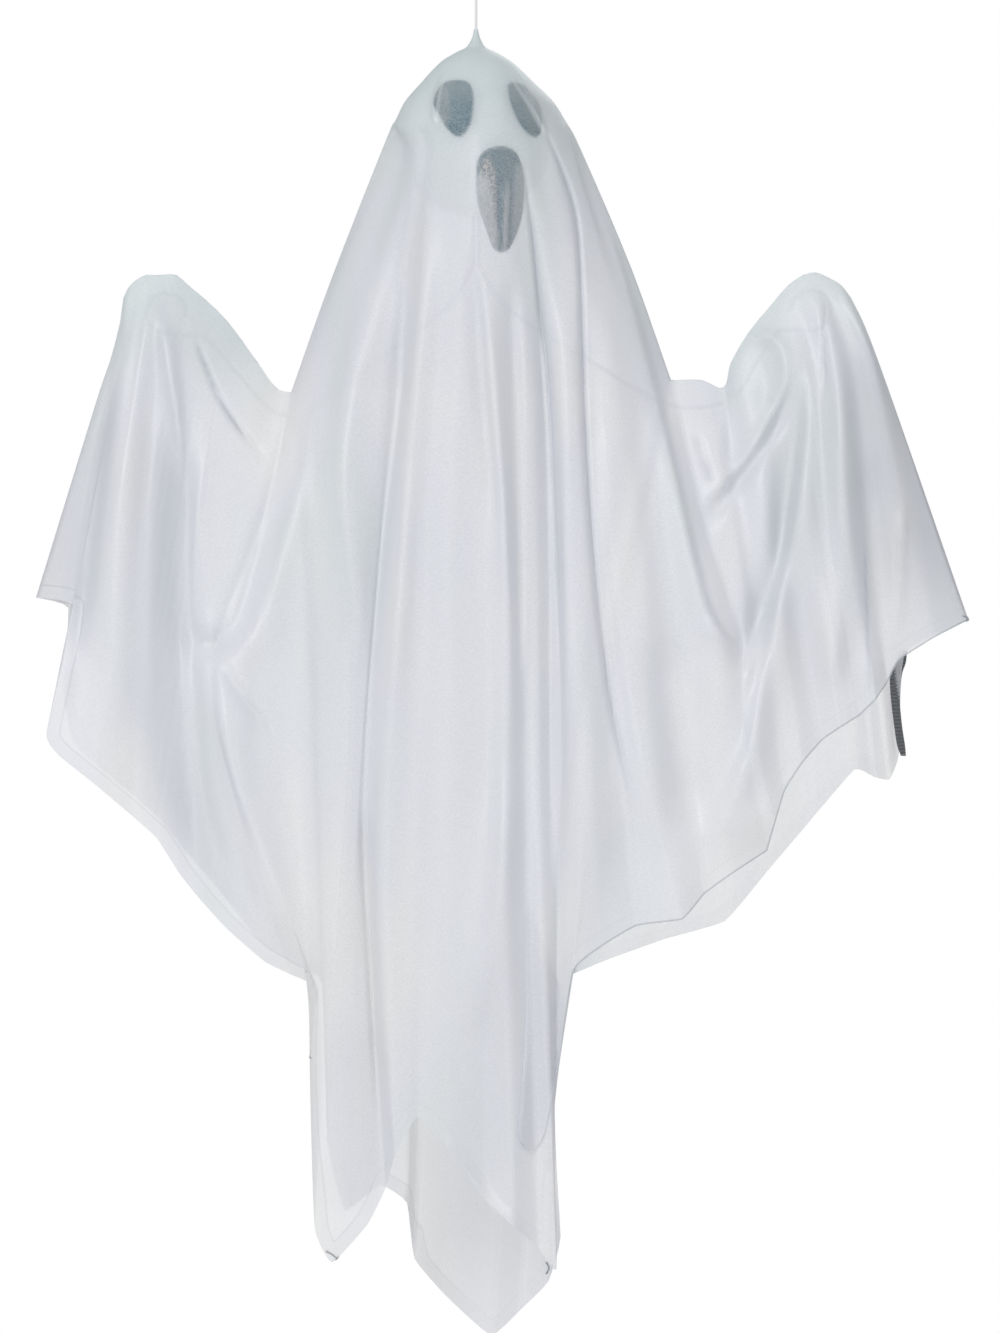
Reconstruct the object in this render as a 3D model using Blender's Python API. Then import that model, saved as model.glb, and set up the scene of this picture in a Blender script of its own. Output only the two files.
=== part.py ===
"""Hanging ghost: a square of thin cloth draped over a foam head and a bent wire frame.

The origin is the underside of the top of the hanging loop, where a hook carries it.
The ghost faces -Y. Cords and wires are tubes, and the cloth is one closed shell.
Fold lines are drawn in millimetres right of the cord and below the top of the head.
"""
import math

import bmesh
import bpy
from mathutils import Vector
from mathutils.bvhtree import BVHTree

MM = 0.001
CLEARANCE = 0.3 * MM          # gap between pieces that touch

# Cloth
CLOTH_SPAN = 373 * MM         # corner to corner, as it hangs
CLOTH_DROP = 519 * MM         # top of the head to the longest point
CLOTH_THICKNESS = 0.8 * MM
PEAK_HEIGHT = 6.4 * MM        # the gathered point that stands up round the cord
PEAK_HOLE = 0.9 * MM          # radius left for the cord
BODY_DEPTH = 44 * MM          # middle of the body in front of the frame at the waist
HEM_DEPTH = 52 * MM           # and at the hems
WING_DEPTH = 24 * MM          # how far the cloth under the arms opens, each side of the frame
WING_SETTLE = 45 * MM         # drop over which it opens
FOLD_START = 25 * MM          # drop below an arm over which a fold reaches its depth
HEM_FOLD_GAIN = 1.8           # how much deeper a fold is at the lowest hem
BACK_FOLD = 4 * MM            # height of the plain folds behind

# Head
HEAD_RADIUS = 30 * MM
HEAD_CENTRE_DROP = 39 * MM    # below the top of the head cloth
HEAD_LEAN = 2 * MM            # the cloth hangs this far right of the cord
BORE_CLEARANCE = 0.4 * MM

# Wire frame
WIRE_RADIUS = 0.8 * MM
HAND_LOOP_RADIUS = 8 * MM
NECK_GAP = 0.7 * MM           # between the two wires in the neck
EYE_RISE = 4.2 * MM           # wire eye above the ball
NECK_DROP = 88 * MM           # where the two wires part, below the top of the head cloth

# Cord
CORD_RADIUS = 0.5 * MM
HEAD_TOP_DROP = 56 * MM       # top of the head cloth below the hook
LOOP_HEIGHT = 22 * MM
LOOP_WIDTH = 13 * MM
LOOP_SPREAD = 1.5 * MM        # between the two ends of the loop, at the knot
KNOT_RADIUS = 1.7 * MM
KNOT_HEIGHT = 3.4 * MM
TIE_RADIUS = 1.3 * MM
TIE_HEIGHT = 2.4 * MM

# Face
PATCH_THICKNESS = 0.35 * MM

# Resolution
UPPER_ROWS = 6
LOWER_ROWS = 14
PATCH_RINGS = 4
PATCH_SIDES = 28
LOOP_STEP = math.radians(17)  # between the points of a hand loop
LOOP_TURN = math.radians(289)
TUBE_STEPS = 2                # bevel steps of a cord, and one more for the wire
CORD_STEPS = 12

# The fold lines below are drawn on a ghost of this span and drop
DRAWN_SPAN = 373
DRAWN_DROP = 519

# Head cloth, drop and half width in head radii
HEAD_PROFILE = [(0.03, 0.13), (0.09, 0.25), (0.2, 0.44), (0.33, 0.587), (0.5, 0.75),
                (0.75, 0.985), (1.02, 1.14)]

# Front of the body: name, bearing round the head in degrees, height of the fold in millimetres,
# then its line from the neck through the waist, which is the third point, to the hem
BODY_FOLDS = [
    ("left_side", -90, -6, [(-36, 38), (-58, 94), (-74, 139), (-83, 182), (-102, 234),
                            (-105, 258), (-99, 290), (-74, 371)]),
    ("left_contour", -80, 3, [(-33, 42), (-52, 88), (-69, 139), (-82, 202), (-97, 244),
                              (-97, 270), (-91, 302), (-63, 377)]),
    ("left_hollow", -71, -2, [(-30, 48), (-50, 106), (-60, 138), (-70, 206), (-74, 242),
                              (-74, 278), (-67, 358), (-66, 406)]),
    ("left_crest", -60, 3, [(-27, 50), (-42, 106), (-50, 138), (-54, 190), (-53, 262),
                            (-57, 342), (-64, 471)]),
    ("tail_tip", -54, 1, [(-25, 48), (-35, 106), (-40, 138), (-45, 206), (-50, 286),
                          (-55, 366), (-57, 485)]),
    ("tail_slope", -50, -2, [(-23, 47), (-32, 106), (-35, 138), (-40, 206), (-46, 286),
                             (-49, 362), (-43, 470)]),
    ("long_valley", -46, -6, [(-20, 46), (-28, 106), (-30, 138), (-37, 202), (-43, 286),
                              (-43, 350), (-36, 456)]),
    ("long_crest", -36, 4, [(-16, 46), (-22, 106), (-26, 138), (-31, 206), (-35, 278),
                            (-37, 350), (-32, 442)]),
    ("panel_left", -24, -1, [(-9, 46), (-14, 106), (-17, 138), (-22, 214), (-25, 334),
                             (-23, 427)]),
    ("panel_mid", -13, 2, [(-3, 46), (-6, 102), (-7, 138), (-9, 230), (-10, 326), (-11, 439)]),
    ("panel_dent", -5, -1.5, [(1, 50), (-1, 114), (1, 140), (4, 222), (4, 326), (3, 459)]),
    ("panel_crest", 4, 4, [(5, 50), (6, 114), (8, 142), (13, 222), (12, 326), (15, 470)]),
    ("gutter", 12, -6, [(10, 50), (15, 114), (17, 142), (19, 230), (20, 326), (25, 479)]),
    ("gutter_rib", 20, -1, [(14, 48), (21, 114), (23, 142), (25, 230), (26, 326), (32, 487)]),
    ("deep_valley", 29, -8, [(20, 48), (27, 110), (29, 142), (31, 230), (32, 326), (36, 448)]),
    ("bright_crest", 42, 6, [(26, 48), (33, 106), (35, 138), (37, 230), (42, 322), (46, 363)]),
    ("second_valley", 51, -4, [(32, 50), (42, 104), (44, 136), (48, 198), (56, 270), (66, 352)]),
    ("right_crest", 61, 4, [(37, 54), (49, 106), (53, 136), (57, 210), (66, 278), (82, 349)]),
    ("right_hollow", 71, 0, [(42, 56), (57, 110), (63, 137), (74, 202), (83, 266), (91, 339)]),
    ("right_contour", 80, 5, [(44, 57), (62, 107), (71, 139), (85, 196), (95, 235), (95, 262),
                              (94, 290), (102, 331)]),
    ("right_side", 90, -6, [(42, 42), (62, 89), (78, 134), (91, 190), (100, 218), (106, 239),
                            (106, 270), (116, 322)]),
]

# Front of the wings, outer edge first: name, height of the fold, line from the arm to the hem
LEFT_WING_FOLDS = [
    ("outer_edge", 0, [(-141, 101), (-144, 119), (-152, 143), (-176, 221)]),
    ("cuff_valley", -7, [(-139, 97), (-142, 122), (-148, 152), (-160, 225)]),
    ("cuff_corner", -1, [(-136, 94), (-139, 122), (-147, 165), (-171, 275)]),
    ("cuff_crest", 1, [(-132, 92), (-136, 126), (-142, 180), (-166, 284)]),
    ("broad_crest", 5, [(-127, 92), (-132, 126), (-137, 190), (-150, 296)]),
    ("palm_valley", -3, [(-120, 92), (-127, 122), (-131, 200), (-136, 308)]),
    ("palm", 2, [(-114, 97), (-121, 128), (-125, 200), (-125, 317)]),
    ("inner_crest", 2, [(-108, 102), (-115, 136), (-118, 220), (-114, 331)]),
    ("inner_valley", -3, [(-99, 111), (-108, 145), (-112, 225), (-105, 341)]),
    ("swag_rise", 1, [(-88, 126), (-97, 156), (-108, 225), (-94, 355)]),
    ("swag_hollow", -3, [(-80, 137), (-87, 165), (-104, 235), (-102, 290), (-82, 367)]),
]
RIGHT_WING_FOLDS = [
    ("swag_hollow", 1, [(90, 134), (95, 160), (107, 225), (110, 270), (119, 311)]),
    ("swag_rise", -3, [(99, 137), (103, 165), (111, 215), (123, 298)]),
    ("inner_valley", 2, [(102, 127), (112, 160), (118, 210), (130, 287)]),
    ("inner_crest", -4, [(109, 115), (119, 145), (124, 200), (138, 278)]),
    ("palm", 4, [(118, 104), (128, 134), (132, 190), (145, 273)]),
    ("palm_valley", -1, [(125, 96), (136, 130), (140, 190), (153, 268)]),
    ("broad_crest", 4, [(131, 92), (143, 126), (148, 185), (159, 262)]),
    ("cuff_crest", -5, [(136, 91), (149, 126), (155, 180), (164, 255)]),
    ("cuff_corner", -2, [(141, 93), (154, 128), (161, 175), (169, 246)]),
    ("cuff_valley", 3, [(146, 96), (159, 128), (169, 175), (183, 237)]),
    ("outer_edge", 0, [(150, 101), (157, 116), (170, 152), (197, 230)]),
]

# Hem of the cloth behind, left to right, one point for each line of the back
LEFT_WING_BACK_HEM = [(-164, 225), (-166, 258), (-162, 279), (-149, 291), (-136, 302),
                      (-126, 311), (-115, 325), (-106, 335), (-96, 348), (-86, 360)]
BODY_BACK_HEM = [(-76, 366), (-68, 386), (-58, 418), (-50, 448), (-39, 458), (-28, 465),
                 (-25, 488), (-12, 503), (6, 519), (18, 508), (29, 497), (34, 478),
                 (36, 426), (40, 372)]
RIGHT_WING_BACK_HEM = [(54, 365), (76, 358), (100, 351), (116, 332), (134, 311), (152, 290),
                       (160, 293), (166, 294), (172, 284), (173, 256)]

# Wire frame: each arm from its elbow end at the neck to its hand, where the loop begins
LEFT_ARM = [(-12, 105), (-45, 130), (-70, 147), (-82, 146), (-94, 133), (-108, 117)]
LEFT_HAND = (-124, 107)
RIGHT_ARM = [(12, 105), (45, 126), (72, 142), (90, 145), (104, 140), (112, 127), (121, 114)]
RIGHT_HAND = (134, 106)

# Face: the outline of each patch
LEFT_EYE = [(-10, 15), (-5, 15), (-2, 21), (-3, 29), (-6, 35), (-9, 36), (-14, 31), (-17, 22),
            (-15, 18)]
RIGHT_EYE = [(17, 15), (22, 17), (26, 25), (27, 33), (24, 36), (19, 34), (14, 27), (13, 19)]
MOUTH = [(10, 42), (15, 44), (20, 52), (21, 60), (18, 72), (14, 81), (9, 82), (4, 74), (1, 62),
         (0, 52), (4, 45)]


def clear_scene():
    for old in list(bpy.data.objects):
        bpy.data.objects.remove(old, do_unlink=True)


def make_material(name, colour, roughness, metallic=0.0):
    material = bpy.data.materials.new(name)
    material.use_nodes = True
    shader = material.node_tree.nodes["Principled BSDF"]
    shader.inputs["Base Color"].default_value = (*colour, 1.0)
    shader.inputs["Roughness"].default_value = roughness
    shader.inputs["Metallic"].default_value = metallic
    return material


def link(name, data, material):
    data.materials.append(material)
    obj = bpy.data.objects.new(name, data)
    bpy.context.scene.collection.objects.link(obj)
    return obj


def drop_z(drop):
    """Height of a point this far below the top of the head."""
    return -(HEAD_TOP_DROP + drop)


def placed(point):
    """A drawn point at the ghost's real size, as (x, drop)."""
    return (point[0] * CLOTH_SPAN / DRAWN_SPAN, point[1] * CLOTH_DROP / DRAWN_DROP)


def spline(points, steps):
    """Points along a smooth curve through the given ones, in any number of dimensions."""
    knots = [Vector(p) for p in points]
    knots = [2 * knots[0] - knots[1]] + knots + [2 * knots[-1] - knots[-2]]
    fine = []
    pieces = 12
    for k in range(1, len(knots) - 2):
        a, b, c, d = knots[k - 1:k + 3]
        for i in range(pieces):
            t = i / pieces
            fine.append(0.5 * (2 * b + (c - a) * t + (2 * a - 5 * b + 4 * c - d) * t * t
                               + (3 * b - a - 3 * c + d) * t ** 3))
    fine.append(knots[-2])
    reach = [0.0]
    for a, b in zip(fine, fine[1:]):
        reach.append(reach[-1] + (b - a).length)
    result = []
    for step in steps:
        target = step * reach[-1]
        k = next((i for i in range(1, len(reach)) if reach[i] >= target - 1e-12), len(reach) - 1)
        share = (target - reach[k - 1]) / (reach[k] - reach[k - 1])
        result.append(fine[k - 1].lerp(fine[k], share))
    return result


def ease(value):
    value = min(max(value, 0.0), 1.0)
    return value * value * (3 - 2 * value)


def wing_depth(below):
    return WING_DEPTH * (1 - math.exp(-below / WING_SETTLE))


def body_depth(drop):
    waist = BODY_FOLDS[0][3][2][1] * CLOTH_DROP / DRAWN_DROP
    if drop < waist:
        neck = HEAD_RADIUS * HEAD_PROFILE[-1][1]
        return neck + (BODY_DEPTH - neck) * ease(drop / waist)
    return BODY_DEPTH + (HEM_DEPTH - BODY_DEPTH) * ease((drop - waist) / (CLOTH_DROP - waist))


def fold_share(bearing, drop, below):
    """How much of a fold's height shows: none on the head and along the arms."""
    waist = BODY_FOLDS[0][3][2][1] * CLOTH_DROP / DRAWN_DROP
    face_end = MOUTH[6][1] * CLOTH_DROP / DRAWN_DROP
    body = ease((drop - face_end) / (waist - face_end)) * (1 - abs(math.sin(bearing)) ** 8)
    return max(body, ease(below / FOLD_START))


def lower_steps():
    """Rows lie closer together near the arms, where the cloth turns over the wire."""
    return [(k / LOWER_ROWS) ** 1.5 for k in range(LOWER_ROWS + 1)]


def head_points(bearing, side):
    """One line over the head from the cord's hole to the neck."""
    hole = PEAK_HOLE + CLOTH_THICKNESS
    first_drop, first_width = HEAD_PROFILE[0]
    middle = (hole + first_width * HEAD_RADIUS) / 2
    rows = [(-PEAK_HEIGHT, hole), ((first_drop * HEAD_RADIUS - PEAK_HEIGHT) / 2, middle)]
    rows += [(drop * HEAD_RADIUS, width * HEAD_RADIUS) for drop, width in HEAD_PROFILE]
    points = []
    for drop, width in rows:
        lean = HEAD_LEAN * ease(drop / HEAD_CENTRE_DROP)
        points.append(Vector((lean + width * math.sin(bearing),
                              side * width * math.cos(bearing), drop_z(drop))))
    return points


def upper_points(bearing, line, side):
    """From the neck to the waist; the last point is the waist's own."""
    points = []
    for x, drop in spline([placed(p) for p in line], [k / UPPER_ROWS for k in
                                                     range(1, UPPER_ROWS + 1)]):
        points.append(Vector((x, side * body_depth(drop) * math.cos(bearing), drop_z(drop))))
    return points


def lower_points(bearing, height, line, side):
    """From the waist or the arm down to the hem, its first point on the ridge."""
    steps = lower_steps()
    path = spline([placed(p) for p in line], steps)
    length = sum((b - a).length for a, b in zip(path, path[1:]))
    points = []
    for (x, drop), step in zip(path, steps):
        below = step * length
        wing = wing_depth(below)
        depth = wing + (body_depth(drop) - wing) * math.cos(bearing)
        gain = 1 + (HEM_FOLD_GAIN - 1) * drop / CLOTH_DROP
        depth += height * MM * gain * fold_share(bearing, drop, below)
        points.append(Vector((x, side * depth, drop_z(drop))))
    return points


def fold_upper(points, bearing, height, side):
    """Raise the fold on the stretch between the face and the waist."""
    for point in points:
        drop = -point.z - HEAD_TOP_DROP
        point.y += side * height * MM * fold_share(bearing, drop, 0.0)
    return points


def front_columns():
    columns = []
    for name, height, line in LEFT_WING_FOLDS:
        edge = name == "outer_edge"
        lower = lower_points(math.pi / 2, height, line, -1)
        columns.append((None, [Vector((p.x, 0, p.z)) for p in lower] if edge else lower))
    for name, degrees, height, line in BODY_FOLDS:
        bearing = math.radians(degrees)
        upper = head_points(bearing, -1) + upper_points(bearing, line[:3], -1)
        upper = fold_upper(upper, bearing, height, -1)
        columns.append((upper, lower_points(bearing, height, line[2:], -1)))
    for name, height, line in RIGHT_WING_FOLDS:
        edge = name == "outer_edge"
        lower = lower_points(math.pi / 2, height, line, -1)
        columns.append((None, [Vector((p.x, 0, p.z)) for p in lower] if edge else lower))
    return columns


def back_line(start, end, bulge):
    """A plain line of the back: from its start, hanging a little outward of straight."""
    middle = ((start[0] + end[0]) / 2 + bulge, (start[1] + end[1]) / 2)
    return [start, middle, end]


def back_columns(front):
    """The back shares the arms' ridge, the outer edges and the two sides of the body above."""
    columns = [front[0]]
    for k, (end, fold) in enumerate(zip(LEFT_WING_BACK_HEM, LEFT_WING_FOLDS[1:])):
        height = BACK_FOLD / MM * (-1) ** k
        line = back_line(fold[2][0], end, -3)
        columns.append((None, lower_points(math.pi / 2, height, line, 1)))
    left, right = BODY_FOLDS[0][3], BODY_FOLDS[-1][3]
    last = len(BODY_BACK_HEM) - 1
    for k, end in enumerate(BODY_BACK_HEM):
        bearing = math.radians(-90 + 180 * k / last)
        across = (1 + math.sin(bearing)) / 2
        height = BACK_FOLD / MM * (-1) ** k
        line = [(a[0] + (b[0] - a[0]) * across, a[1] + (b[1] - a[1]) * across)
                for a, b in zip(left[:3], right[:3])]
        upper = head_points(bearing, 1) + upper_points(bearing, line, 1)
        upper = fold_upper(upper, bearing, height, 1)
        lower = lower_points(bearing, height, back_line(line[2], end, 0), 1)
        columns.append((upper, lower))
    for k, (end, fold) in enumerate(zip(RIGHT_WING_BACK_HEM, RIGHT_WING_FOLDS[:-1])):
        height = BACK_FOLD / MM * (-1) ** k
        line = back_line(fold[2][0], end, 3)
        columns.append((None, lower_points(math.pi / 2, height, line, 1)))
    columns.append(front[-1])
    return columns


def add_sheet(mesh, columns, flip):
    """Faces between neighbouring lines; a body line has an upper part, a wing line none."""
    made = []
    for upper, lower in columns:
        made.append(([mesh.verts.new(p) for p in upper[:-1]] if upper else None,
                     [mesh.verts.new(p) for p in lower]))
    for (upper_a, lower_a), (upper_b, lower_b) in zip(made, made[1:]):
        runs = [(lower_a, lower_b)]
        if upper_a and upper_b:
            runs.append((upper_a + lower_a[:1], upper_b + lower_b[:1]))
        for a, b in runs:
            for k in range(len(a) - 1):
                corners = [a[k], a[k + 1], b[k + 1], b[k]]
                mesh.faces.new(corners[::-1] if flip else corners)


def cloth_skin():
    """The outer face of the cloth, before it gets its thickness."""
    mesh = bmesh.new()
    front = front_columns()
    add_sheet(mesh, front, False)
    add_sheet(mesh, back_columns(front), True)
    bmesh.ops.remove_doubles(mesh, verts=mesh.verts, dist=0.02 * MM)
    bmesh.ops.dissolve_degenerate(mesh, edges=mesh.edges, dist=0.01 * MM)
    bmesh.ops.triangulate(mesh, faces=mesh.faces)
    bmesh.ops.recalc_face_normals(mesh, faces=mesh.faces)
    return mesh


def make_cloth(skin, material):
    data = bpy.data.meshes.new("ghost_cloth")
    skin.to_mesh(data)
    data.shade_smooth()
    obj = link("ghost_cloth", data, material)
    solid = obj.modifiers.new("thickness", "SOLIDIFY")
    solid.thickness = CLOTH_THICKNESS
    solid.offset = -1.0
    return obj


def make_patch(name, outline, tree, material):
    """A thin patch glued behind the cloth, which follows the cloth's inner face."""
    edge = spline([placed(p) for p in outline + outline[:1]],
                  [k / PATCH_SIDES for k in range(PATCH_SIDES)])
    centre = sum(edge, Vector((0, 0))) / PATCH_SIDES
    places = [centre]
    for ring in range(1, PATCH_RINGS + 1):
        places += [centre.lerp(p, ring / PATCH_RINGS) for p in edge]
    mesh = bmesh.new()
    layers = []
    for depth in (CLOTH_THICKNESS + CLEARANCE, CLOTH_THICKNESS + CLEARANCE + PATCH_THICKNESS):
        layer = []
        for x, drop in places:
            origin = Vector((x, -2 * HEM_DEPTH, drop_z(drop)))
            hit, normal, _, _ = tree.ray_cast(origin, Vector((0, 1, 0)))
            layer.append(mesh.verts.new(hit - normal * depth))
        layers.append(layer)

    def vertex(layer, ring, k):
        if ring == 0:
            return layer[0]
        return layer[1 + (ring - 1) * PATCH_SIDES + k % PATCH_SIDES]

    for layer, flip in zip(layers, (False, True)):
        for ring in range(PATCH_RINGS):
            for k in range(PATCH_SIDES):
                corners = [vertex(layer, ring, k), vertex(layer, ring + 1, k),
                           vertex(layer, ring + 1, k + 1), vertex(layer, ring, k + 1)]
                corners = list(dict.fromkeys(corners))
                mesh.faces.new(corners[::-1] if flip else corners)
    inner, outer = layers[1], layers[0]
    for k in range(PATCH_SIDES):
        mesh.faces.new([vertex(outer, PATCH_RINGS, k), vertex(inner, PATCH_RINGS, k),
                        vertex(inner, PATCH_RINGS, k + 1), vertex(outer, PATCH_RINGS, k + 1)])
    bmesh.ops.recalc_face_normals(mesh, faces=mesh.faces)
    data = bpy.data.meshes.new(name)
    mesh.to_mesh(data)
    mesh.free()
    data.shade_smooth()
    return link(name, data, material)


def make_ball(material):
    """Foam ball with a bore for the two wires of the neck."""
    mesh = bmesh.new()
    bmesh.ops.create_uvsphere(mesh, u_segments=32, v_segments=16, radius=HEAD_RADIUS)
    data = bpy.data.meshes.new("head_ball")
    mesh.to_mesh(data)
    mesh.free()
    data.shade_smooth()
    ball = link("head_ball", data, material)
    ball.location = (0, 0, drop_z(HEAD_CENTRE_DROP))
    mesh = bmesh.new()
    bore = neck_half_gap() + WIRE_RADIUS + BORE_CLEARANCE
    bmesh.ops.create_cone(mesh, cap_ends=True, segments=24, radius1=bore, radius2=bore,
                          depth=3 * HEAD_RADIUS)
    cutter_data = bpy.data.meshes.new("bore_cutter")
    mesh.to_mesh(cutter_data)
    mesh.free()
    cutter = bpy.data.objects.new("bore_cutter", cutter_data)
    bpy.context.scene.collection.objects.link(cutter)
    cutter.location = ball.location
    cutter.hide_render = True
    cutter.display_type = "WIRE"
    cut = ball.modifiers.new("bore", "BOOLEAN")
    cut.operation = "DIFFERENCE"
    cut.object = cutter
    return ball


def make_tube(name, points, radius, sides_level, material):
    curve = bpy.data.curves.new(name, "CURVE")
    curve.dimensions = "3D"
    curve.bevel_depth = radius
    curve.bevel_resolution = sides_level
    curve.use_fill_caps = True
    curve.render_resolution_u = 0
    run = curve.splines.new("POLY")
    run.points.add(len(points) - 1)
    for target, point in zip(run.points, points):
        target.co = (*point, 1.0)
    return link(name, curve, material)


def neck_half_gap():
    return WIRE_RADIUS + NECK_GAP / 2


def hand_loop(hand, arm_end, side):
    """The wire's end, curled round the hand from the point where the arm meets the circle."""
    centre, start = Vector(placed(hand)), Vector(placed(arm_end))
    toward = start - centre
    first = math.atan2(toward.y, toward.x)
    touch = math.acos(min(HAND_LOOP_RADIUS / toward.length, 1.0))
    points = []
    for k in range(int(LOOP_TURN / LOOP_STEP) + 1):
        angle = first - side * (touch + LOOP_STEP * k)
        points.append(centre + HAND_LOOP_RADIUS * Vector((math.cos(angle), math.sin(angle))))
    return points


def make_wire(material):
    """One bent wire: hand, arm, up the neck, over the eye, down, arm, hand."""
    eye_top = HEAD_CENTRE_DROP - HEAD_RADIUS - EYE_RISE
    gap = neck_half_gap()
    arm_steps = 26
    crown_steps = 6

    def half(arm, hand, side):
        neck = [Vector((side * gap, drop)) for drop in (eye_top + gap, HEAD_CENTRE_DROP,
                                                         NECK_DROP)]
        path = spline([neck[-1]] + [placed(p) for p in arm],
                      [k / arm_steps for k in range(1, arm_steps + 1)])
        return neck + path + hand_loop(hand, arm[-1], side)

    crown = []
    for k in range(1, crown_steps):
        angle = math.pi * k / crown_steps
        crown.append(Vector((-gap * math.cos(angle), eye_top + gap * (1 - math.sin(angle)))))
    route = half(LEFT_ARM, LEFT_HAND, -1)[::-1] + crown + half(RIGHT_ARM, RIGHT_HAND, 1)
    points = [Vector((x, 0, drop_z(drop))) for x, drop in route]
    return make_tube("wire_frame", points, WIRE_RADIUS, TUBE_STEPS + 1, material)


def make_knot(name, radius, height, centre_drop, material):
    """A pulled-tight knot as a small barrel with rounded ends."""
    mesh = bmesh.new()
    bmesh.ops.create_uvsphere(mesh, u_segments=16, v_segments=10, radius=1.0)
    bmesh.ops.scale(mesh, vec=Vector((radius, radius, height / 2)), verts=mesh.verts)
    data = bpy.data.meshes.new(name)
    mesh.to_mesh(data)
    mesh.free()
    data.shade_smooth()
    knot = link(name, data, material)
    knot.location = (0, 0, -centre_drop)
    return knot


def loop_points():
    """A teardrop from the knot up over the hook and back, its two ends side by side."""
    points = []
    steps = 28
    for k in range(steps + 1):
        turn = 2 * math.pi * k / steps
        down = (1 + math.cos(turn)) / 2
        bulge = math.sin(turn) * math.sin(turn / 2)
        points.append(Vector((-LOOP_SPREAD / 2 * math.cos(turn / 2) - LOOP_WIDTH / 2 * bulge, 0,
                              CORD_RADIUS - LOOP_HEIGHT * down)))
    return points


def main():
    clear_scene()
    cloth_white = make_material("cloth_white", (0.86, 0.86, 0.88), 0.6)
    patch_grey = make_material("patch_grey", (0.13, 0.15, 0.18), 0.85)
    foam_white = make_material("foam_white", (0.9, 0.9, 0.9), 0.8)
    wire_white = make_material("wire_white", (0.82, 0.82, 0.84), 0.45)
    cord_grey = make_material("cord_grey", (0.72, 0.72, 0.74), 0.6)

    skin = cloth_skin()
    tree = BVHTree.FromBMesh(skin)
    make_cloth(skin, cloth_white)
    make_patch("left_eye", LEFT_EYE, tree, patch_grey)
    make_patch("right_eye", RIGHT_EYE, tree, patch_grey)
    make_patch("mouth", MOUTH, tree, patch_grey)
    skin.free()

    make_ball(foam_white)
    make_wire(wire_white)

    wire_top = HEAD_TOP_DROP + HEAD_CENTRE_DROP - HEAD_RADIUS - EYE_RISE - WIRE_RADIUS
    tie_centre = wire_top - CLEARANCE - TIE_HEIGHT / 2
    make_knot("tie_knot", TIE_RADIUS, TIE_HEIGHT, tie_centre, cord_grey)
    knot_centre = LOOP_HEIGHT - CORD_RADIUS + CLEARANCE + KNOT_HEIGHT / 2
    make_knot("loop_knot", KNOT_RADIUS, KNOT_HEIGHT, knot_centre, cord_grey)
    make_tube("hanging_loop", loop_points(), CORD_RADIUS, TUBE_STEPS, cord_grey)
    top = knot_centre + KNOT_HEIGHT / 2 + CLEARANCE
    bottom = tie_centre - TIE_HEIGHT / 2 - CLEARANCE
    run = [Vector((0, 0, -(top + (bottom - top) * k / CORD_STEPS)))
           for k in range(CORD_STEPS + 1)]
    make_tube("hanging_cord", run, CORD_RADIUS, TUBE_STEPS, cord_grey)


main()
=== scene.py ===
"""Hanging ghost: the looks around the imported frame. Metres, +Z up, the face looks along -Y."""
import math

import bmesh
import bpy
import numpy as np
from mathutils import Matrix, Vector
from mathutils.bvhtree import BVHTree
from mathutils.kdtree import KDTree


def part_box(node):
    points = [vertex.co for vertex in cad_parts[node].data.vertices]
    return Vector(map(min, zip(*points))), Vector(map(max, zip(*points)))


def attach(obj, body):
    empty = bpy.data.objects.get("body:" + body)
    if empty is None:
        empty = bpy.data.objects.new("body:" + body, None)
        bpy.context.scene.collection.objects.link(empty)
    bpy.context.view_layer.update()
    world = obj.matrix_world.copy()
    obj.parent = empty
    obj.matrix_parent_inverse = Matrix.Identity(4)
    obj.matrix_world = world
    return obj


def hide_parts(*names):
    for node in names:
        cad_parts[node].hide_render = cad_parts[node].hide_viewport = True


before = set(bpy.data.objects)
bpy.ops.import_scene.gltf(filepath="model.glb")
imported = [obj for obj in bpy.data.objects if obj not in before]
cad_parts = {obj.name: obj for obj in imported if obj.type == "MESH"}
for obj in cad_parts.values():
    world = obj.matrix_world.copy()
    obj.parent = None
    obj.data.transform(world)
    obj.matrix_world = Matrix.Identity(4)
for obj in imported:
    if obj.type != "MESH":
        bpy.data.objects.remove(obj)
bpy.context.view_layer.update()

MM = 0.001

# Places on the photo, in its pixels, and its scale
PHOTO_WIDTH, PHOTO_HEIGHT = 1000, 1333
PHOTO_CORD = 476
PHOTO_HEAD_TOP = 45
PIXEL = 0.4 * MM

# Sizes that the construction also has
HEAD_TOP_DROP = 56 * MM  # top of the head cloth below the hook
CLOTH_DROP = 519 * MM    # from there to the longest point
PEAK_HEIGHT = 6.4 * MM   # the gathered point round the cord
BODY_DEPTH = 44 * MM     # middle of the body in front of the frame at the waist
HEM_DEPTH = 52 * MM      # and at the hems
WING_DEPTH = 24 * MM     # how far the cloth opens under the arms, to each side
WING_SETTLE = 45 * MM    # drop over which it opens
FOLD_START = 25 * MM     # drop below an arm over which a fold reaches its height
HEM_FOLD_GAIN = 1.8      # how much higher a fold is at the lowest hem
BACK_FOLD = 4            # height of the plain folds behind, in millimetres
HEAD_RADIUS = 30 * MM
HEAD_CENTRE_DROP = 39 * MM
HEAD_LEAN = 2 * MM       # the cloth hangs this far right of the cord
CORD_RADIUS = 0.5 * MM
LOOP_HEIGHT = 22 * MM
LOOP_WIDTH = 13 * MM
LOOP_SPREAD = 1.5 * MM   # between the two ends of the loop, at the knot
KNOT_RADIUS = 1.7 * MM
KNOT_HEIGHT = 3.4 * MM

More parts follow.
